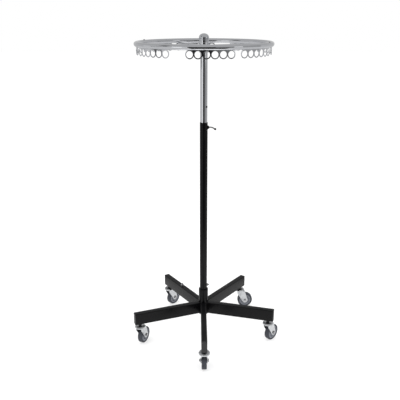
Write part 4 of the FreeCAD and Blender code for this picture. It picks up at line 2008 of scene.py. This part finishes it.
# ---- carousel --------------------------------------------------------------
@dataclass
class Carousel:
    """Hub, finial, spokes, the round rail and its punched strips."""

    shop: Workshop
    hub_radius: float = 18.5 * MM
    hub_bore: float = 16.5 * MM
    finial_neck: float = 18.8 * MM
    finial_radius: float = 20 * MM
    finial_roof: float = 16.7 * MM
    spoke_radius: float = 5 * MM
    rail_radius: float = 267 * MM
    tube_radius: float = 10 * MM
    seam_gap: float = 0.03
    strip_thickness: float = 2 * MM
    holes: int = 6
    hole_radius: float = 12 * MM
    lobe_radius: float = 16.1 * MM
    hole_pitch: float = 6.475
    edge: float = 0.45 * MM
    screw_offset: float = 2.6
    screw_sink: float = 0.8 * MM
    screw_sides: int = 24
    rail_steps: int = 193
    weld_steps: int = 24
    weld_holes: tuple[float, ...] = (-2.0, 0.0, 2.0)
    weld_turn: float = 0.18
    weld_inset: float = 0.2 * MM
    weld_spacing: float = 1.4
    screw_head: float = 3.5 * MM
    head_height: float = 2.2 * MM
    bead: float = 1.2 * MM

    def build(self) -> None:
        """Builds every piece of the carousel."""
        self.hub()
        self.finial()
        self.spokes()
        self.rails()
        self.strips()
        self.screws()
        self.welds()

    def hub(self) -> None:
        """Plain sleeve on the bearing bush."""
        low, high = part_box("hub_sleeve")
        r, b = self.hub_radius, self.hub_bore
        loop = [(r, low.z), (r, high.z), (b, high.z), (b, low.z)]
        shell = Shell()
        shell.turn(rounded(loop, 0.6 * MM, 4), segments=128, looped=True)
        self.shop.fit(shell.piece("hub_tube"), Slot.CHROME, "hub_sleeve")

    def finial(self) -> None:
        """Domed cap that tapers to the sleeve."""
        low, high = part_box("finial_cap")
        r, top, foot = self.finial_radius, high.z, low.z
        shoulder = top - 15 * MM
        inside = top - self.finial_roof
        outline = [
            (0, inside),
            (self.hub_bore, inside),
            (self.hub_bore, foot),
            (self.finial_neck - 0.6 * MM, foot),
            (self.finial_neck, foot + 0.6 * MM),
            (self.finial_neck + 0.2 * MM, foot + 2 * MM),
            (r - 0.1 * MM, shoulder - 3 * MM),
            (r, shoulder - 1 * MM),
        ]
        for k in range(1, 19):
            angle = math.radians(90 * k / 18)
            spot = (r * math.cos(angle), shoulder + 15 * MM * math.sin(angle))
            outline.append(spot)
        outline[-1] = (0, top)
        shell = Shell()
        shell.turn(outline, segments=128)
        self.shop.fit(shell.piece("finial"), Slot.CHROME, "finial_cap")

    def spokes(self) -> None:
        """Round rods from the sleeve to the rail."""
        for number in range(1, 5):
            node = f"spoke_{number}"
            low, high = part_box(node)
            ahead = towards(self.shop.bearing(node))
            middle = Vector((0, 0, (low.z + high.z) / 2))
            start = self.hub_radius - 0.6 * MM
            stop = self.rail_radius - 4 * MM
            r, cut = self.spoke_radius, 0.5 * MM
            outline = [(0, start), (r, start), (r, start + 20 * MM)]
            outline += [(r, stop - cut), (r - cut, stop), (0, stop)]
            shell = Shell()
            shell.turn(outline, pointed(middle, ahead), 40)
            piece = shell.piece(f"spoke_rod_{number}")
            self.shop.fit(piece, Slot.CHROME, node)

    def rails(self) -> None:
        """Two half rings of round tube."""
        recipe = rail_recipe()
        for letter in "ab":
            node = f"half_rail_{letter}"
            low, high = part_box(node)
            start = self.shop.middle(node) - 90 + self.seam_gap
            piece = recipe.bake(
                f"rail_{letter}",
                {
                    "Ring radius": self.rail_radius,
                    "Tube radius": self.tube_radius,
                    "Height": (low.z + high.z) / 2,
                    "Start": math.radians(start - 90),
                    "Sweep": math.radians(180 - 2 * self.seam_gap),
                    "Steps": self.rail_steps,
                    "Finish": self.shop.paint[Slot.CHROME],
                },
            )
            self.shop.fit(eased(piece, 0.5 * MM), Slot.CHROME, node)

    def cell(self, name: str, top: float, end: bool) -> bpy.types.Object:
        """One punched cell of the flat strip, centred on its hole.

        Args:
            name: name of the helper.
            top: height of the upper edge above the hole's middle.
            end: whether its left side is the strip's rounded end.

        Returns:
            The cell, open where its neighbours join on.
        """
        half = self.pitch / 2
        t, e = self.strip_thickness / 2, self.edge
        soft = [(e, t), (0.3 * e, t - 0.1 * e), (0, t - 0.5 * e)]
        section = soft + [(q, -d) for q, d in reversed(soft)]
        shell = Shell()
        hole_rings, rim_rings = [], []
        for inset, depth in section:
            sweep = self.outline(self.lobe_radius - inset, half, top, end)
            rim_rings.append(shell.row((x, -depth, z) for x, z in sweep))
            angles = [math.atan2(z, x) for x, z in self.outline(
                self.lobe_radius, half, top, end)]
            reach = self.hole_radius + inset
            hole_rings.append(
                shell.row(
                    (reach * math.cos(a), -depth, reach * math.sin(a)) for a in angles
                )
            )
        for a, b in zip(hole_rings, hole_rings[1:]):
            shell.band(a, b)
        straight = self.straight_steps(end)
        for a, b in zip(rim_rings, rim_rings[1:]):
            for k in range(len(a)):
                after = (k + 1) % len(a)
                if k not in straight:
                    shell.faces.append((a[k], a[after], b[after], b[k]))
        for number in (0, -1):
            shell.band(hole_rings[number], rim_rings[number])
        mesh = bpy.data.meshes.new(name)
        mesh.from_pydata([tuple(c) for c in shell.corners], [], shell.faces)
        return place_in_scene(name, mesh)

    def straight_steps(self, end: bool) -> set[int]:
        """Steps of the outline that lie on an open side.

        Args:
            end: whether the left side is the strip's rounded end.

        Returns:
            Numbers of the steps to leave open.
        """
        right = set(range(10))
        return right if end else right | set(range(22, 32))

    def outline(self, radius: float, half: float, top: float, end: bool) -> list[Point]:
        """Outline of a cell, from its lower right corner round to the left.

        Args:
            radius: radius of the lobe.
            half: half the pitch.
            top: height of the upper edge.
            end: whether the left side is rounded.

        Returns:
            Points anticlockwise: right 10, top 12, left 10 and lobe 24 steps.
        """
        low = -math.sqrt(radius**2 - half**2)
        turn = math.degrees(math.asin(-low / radius))
        points = [(half, low + (top - low) * k / 10) for k in range(10)]
        if not end:
            points += [(half - 2 * half * k / 12, top) for k in range(12)]
            points += [(-half, top + (low - top) * k / 10) for k in range(10)]
            points += arc((0, 0), radius, 180 + turn, 360 - turn, 24)[:-1]
            return points
        lean = math.degrees(math.asin(min(top / radius, 1)))
        corner = -math.sqrt(max(radius**2 - top**2, 0))
        points += [(half + (corner - half) * k / 12, top) for k in range(12)]
        points += arc((0, 0), radius, 180 - lean, 360 - turn, 34)[:-1]
        return points

    def strips(self) -> None:
        """Eight punched strips under the rail."""
        self.pitch = math.radians(self.hole_pitch) * self.rail_radius
        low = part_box("hook_strip_1")[0].z
        height = low + self.lobe_radius
        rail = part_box("half_rail_a")[0].z
        top = rail + 0.25 * MM - height
        cells = [
            self.cell("cell_middle", top, False),
            self.cell("cell_end", top, True),
        ]
        recipe = strip_recipe()
        for number in range(1, 9):
            node = f"hook_strip_{number}"
            piece = recipe.bake(
                f"punched_strip_{number}",
                {
                    "Middle cell": cells[0],
                    "End cell": cells[1],
                    "Holes": self.holes,
                    "Pitch": self.pitch,
                    "Ring radius": self.rail_radius,
                    "Hole height": height,
                    "Bearing": math.radians(self.shop.bearing(node)),
                    "Finish": self.shop.paint[Slot.STRIP_CHROME],
                },
                40,
            )
            self.shop.fit(piece, Slot.STRIP_CHROME, node)
        for cell in cells:
            bpy.data.objects.remove(cell)

    def seams(self) -> list[float]:
        """Bearings of the two joints between the half rails."""
        middle = self.shop.middle("half_rail_a")
        return [middle - 90, middle + 90]

    def screws(self) -> None:
        """One pan-head screw beside each seam of the rail."""
        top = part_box("half_rail_a")[1].z
        r, h = self.screw_head, self.head_height
        outline = [
            (0, -self.screw_sink),
            (r, -self.screw_sink),
            (r, 0.5 * h),
            (0.9 * r, 0.8 * h),
            (0.7 * r, 0.95 * h),
            (0.52 * r, h),
            (0.42 * r, h, 6),
            (0.40 * r, 0.35 * h, 6),
            (0, 0.3 * h),
        ]
        head = Shell()
        head.turn(outline, None, self.screw_sides)
        part = head.piece("screw_head")
        spots = []
        for seam in self.seams():
            spot = towards(seam - self.screw_offset) * self.rail_radius
            spots.append([spot + Vector((0, 0, top))])
        marks = line_object("screw_marks", spots)
        finish = self.shop.paint[Slot.FASTENER_STEEL]
        values = {"Marks": marks, "Fastener": part, "Finish": finish}
        piece = fastener_recipe().bake("seam_screw_heads", values)
        bpy.data.objects.remove(marks)
        bpy.data.objects.remove(part)
        self.shop.fit(piece, Slot.FASTENER_STEEL, "seam_screws")

    def welds(self) -> None:
        """Tack welds on the spokes and along the strips' upper edges."""
        runs = []
        for number in range(1, 5):
            node = f"spoke_{number}"
            low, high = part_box(node)
            place = swung(self.shop.bearing(node))
            z = (low.z + high.z) / 2
            ring = []
            for k in range(self.weld_steps + 1):
                angle = 2 * math.pi * k / self.weld_steps
                y = self.spoke_radius * math.cos(angle)
                x = math.sqrt(self.hub_radius**2 - y**2)
                up = z + self.spoke_radius * math.sin(angle)
                ring.append(place @ Vector((x, y, up)))
            runs.append(ring)
        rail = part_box("half_rail_a")[0].z
        inner = self.rail_radius - self.strip_thickness / 2 - self.weld_inset
        for number in range(1, 9):
            middle = self.shop.bearing(f"hook_strip_{number}")
            for offset in self.weld_holes:
                centre = middle + offset * self.hole_pitch
                arc_run = [
                    towards(centre + self.weld_turn * k) * inner for k in range(-4, 5)
                ]
                runs.append([p + Vector((0, 0, rail)) for p in arc_run])
        lines = line_object("carousel_weld_lines", runs)
        beads = weld_recipe().bake(
            "carousel_welds",
            {
                "Lines": lines,
                "Bead": self.bead,
                "Spacing": self.weld_spacing * self.bead,
                "Finish": self.shop.paint[Slot.CHROME],
            },
            60,
        )
        bpy.data.objects.remove(lines)
        self.shop.join(beads, Slot.CHROME, "carousel")


# ---- studio ----------------------------------------------------------------
WALL_REACH = 4.2
WALL_TOP = 2.3
CARPET_HEIGHT = 0.004


@dataclass(frozen=True)
class Card:
    """Curved studio card that stands round the stand or lies on the floor.

    It runs over a range of bearings, between two edges that each have a
    distance from the mast's axis and a height.
    """

    name: str
    bearings: Point
    near: Point
    far: Point
    level: float
    steps: int = 12

    def build(self) -> None:
        """Makes the card, seen by polished surfaces only."""
        start, stop = self.bearings
        shell = Shell()
        rows = []
        for reach, height in (self.near, self.far):
            spots = []
            for k in range(self.steps + 1):
                ahead = towards(start + (stop - start) * k / self.steps)
                spots.append(ahead * reach + Vector((0, 0, height)))
            rows.append(shell.row(spots))
        shell.band(rows[0], rows[1], closed=False)
        card = shell.piece(self.name)
        card.data.materials.append(Glow(self.name, self.level).make())
        card.visible_camera = False
        card.visible_diffuse = False
        card.visible_shadow = False
        card.visible_transmission = False


def wall(
    name: str,
    bearings: Point,
    level: float,
    low: float = 0.0,
    high: float = WALL_TOP,
) -> Card:
    """Card that stands upright round the stand.

    Args:
        name: its name.
        bearings: where it starts and stops, in degrees.
        level: how bright it is.
        low: height of its lower edge.
        high: height of its upper edge.

    Returns:
        The card.
    """
    return Card(name, bearings, (WALL_REACH, low), (WALL_REACH, high), level)


def carpet(name: str, bearings: Point, level: float, near: float) -> Card:
    """Card that lies just above the floor.

    Args:
        name: its name.
        bearings: where it starts and stops, in degrees.
        level: how bright it is.
        near: distance of its inner edge from the mast.

    Returns:
        The card.
    """
    edges = [(reach, CARPET_HEIGHT) for reach in (near, WALL_REACH)]
    return Card(name, bearings, edges[0], edges[1], level)


@dataclass
class Studio:
    """Pale floor, soft light, reflector cards and the camera."""

    floor_size: float = 40.0
    camera_place: tuple[float, float, float] = (0.0, -2.195, 1.4266)
    camera_tilt: float = 19.16
    camera_yaw: float = 0.41
    lens: float = 47.9
    room_level: float = 1.15
    mirrored_level: float = 0.55
    backdrop_level: float = 1.0
    lamps: list = field(
        default_factory=lambda: [
            ("key", (-2.6, -1.2, 3.4), (0, 0, 0.9), 2.2, 45.0),
            ("fill", (2.8, -0.8, 2.6), (0, 0, 0.8), 2.2, 25.0),
            ("top", (0.0, 0.6, 4.2), (0, 0, 0.5), 3.0, 40.0),
        ]
    )
    cards: list[Card] = field(
        default_factory=lambda: [
            wall("grey_wall_left", (-180, -110), 0.60),
            wall("pale_wall_left", (-110, -50), 0.72),
            wall("window_left", (-50, -34), 1.25),
            wall("window_edge", (-34, -25), 0.80),
            wall("dark_wall", (-25, 18), 0.02),
            wall("dim_wall", (18, 47), 0.22),
            wall("window_right", (47, 62), 1.15, 0.9, 2.3),
            wall("dim_wall_right", (47, 100), 0.42, 0.0, 0.9),
            wall("high_wall_right", (62, 100), 0.50, 0.9, 2.3),
            wall("grey_wall_right", (100, 180), 0.62),
            Card("dark_post_low", (-92, -72), (4.1, 0.85), (4.1, 1.25), 0.06),
            carpet("dark_carpet", (-24, 40), 0.06, 1.0),
            carpet("grey_carpet_left", (-180, -24), 0.74, 0.6),
            carpet("grey_carpet_right", (40, 180), 0.74, 0.6),
            wall("dark_post_left", (-76, -60), 0.05, 1.4, 5.0),
            wall("dim_panel_right", (62, 104), 0.42, 0.6, 3.4),
        ]
    )

    def build(self) -> None:
        """Sets up everything round the stand."""
        self.floor()
        self.world()
        self.lights()
        for card in self.cards:
            card.build()
        self.camera()
        bpy.context.scene.view_settings.view_transform = "Standard"

    def floor(self) -> None:
        """One wide pale floor."""
        s = self.floor_size / 2
        mesh = bpy.data.meshes.new("floor")
        mesh.from_pydata(
            [(-s, -s, 0), (s, -s, 0), (s, s, 0), (-s, s, 0)], [], [(0, 1, 2, 3)]
        )
        mesh.materials.append(StudioFloor("studio_floor").make())
        place_in_scene("floor", mesh)

    def world(self) -> None:
        """Pale surroundings, a little dimmer where polished metal sees them."""
        world = bpy.data.worlds.new("studio")
        world.use_nodes = True
        bpy.context.scene.world = world
        graph = Graph(world.node_tree)
        back = world.node_tree.nodes["Background"]
        rays = graph.node("ShaderNodeLightPath")
        seen, mirrored = (
            Signal(graph, rays.outputs[name])
            for name in ("Is Camera Ray", "Is Glossy Ray")
        )
        strength = self.room_level + (self.backdrop_level - self.room_level) * seen
        strength = strength + (self.mirrored_level - self.room_level) * mirrored
        graph.feed(back.inputs["Strength"], strength)
        back.inputs["Color"].default_value = (1.0, 1.0, 1.0, 1.0)

    def lights(self) -> None:
        """Large soft lamps."""
        for name, place, target, size, power in self.lamps:
            data = bpy.data.lights.new(name, "AREA")
            data.size = size
            data.energy = power
            lamp = bpy.data.objects.new(name, data)
            lamp.location = place
            aim = Vector(target) - Vector(place)
            lamp.rotation_euler = aim.to_track_quat("-Z", "Y").to_euler()
            lamp.visible_glossy = False
            bpy.context.scene.collection.objects.link(lamp)

    def camera(self) -> None:
        """Camera at standing height, looking slightly down."""
        data = bpy.data.cameras.new("camera")
        data.lens = self.lens
        data.sensor_width = 36.0
        data.dof.use_dof = False
        camera = bpy.data.objects.new("camera", data)
        camera.location = self.camera_place
        camera.rotation_euler = (
            math.radians(90 - self.camera_tilt),
            0.0,
            math.radians(self.camera_yaw),
        )
        bpy.context.scene.collection.objects.link(camera)
        bpy.context.scene.camera = camera


def main() -> None:
    """Builds the stand piece by piece, then its studio."""
    logging.basicConfig(level=logging.INFO, format="%(message)s")
    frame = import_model()
    shop = Workshop(frame)
    RollingBase(shop).build()
    for number in range(1, 6):
        Caster(shop, number).build()
    OuterMast(shop).build()
    InnerMast(shop).build()
    Carousel(shop).build()
    shop.paint_the_rest()
    Studio().build()


if __name__ == "__main__":
    main()
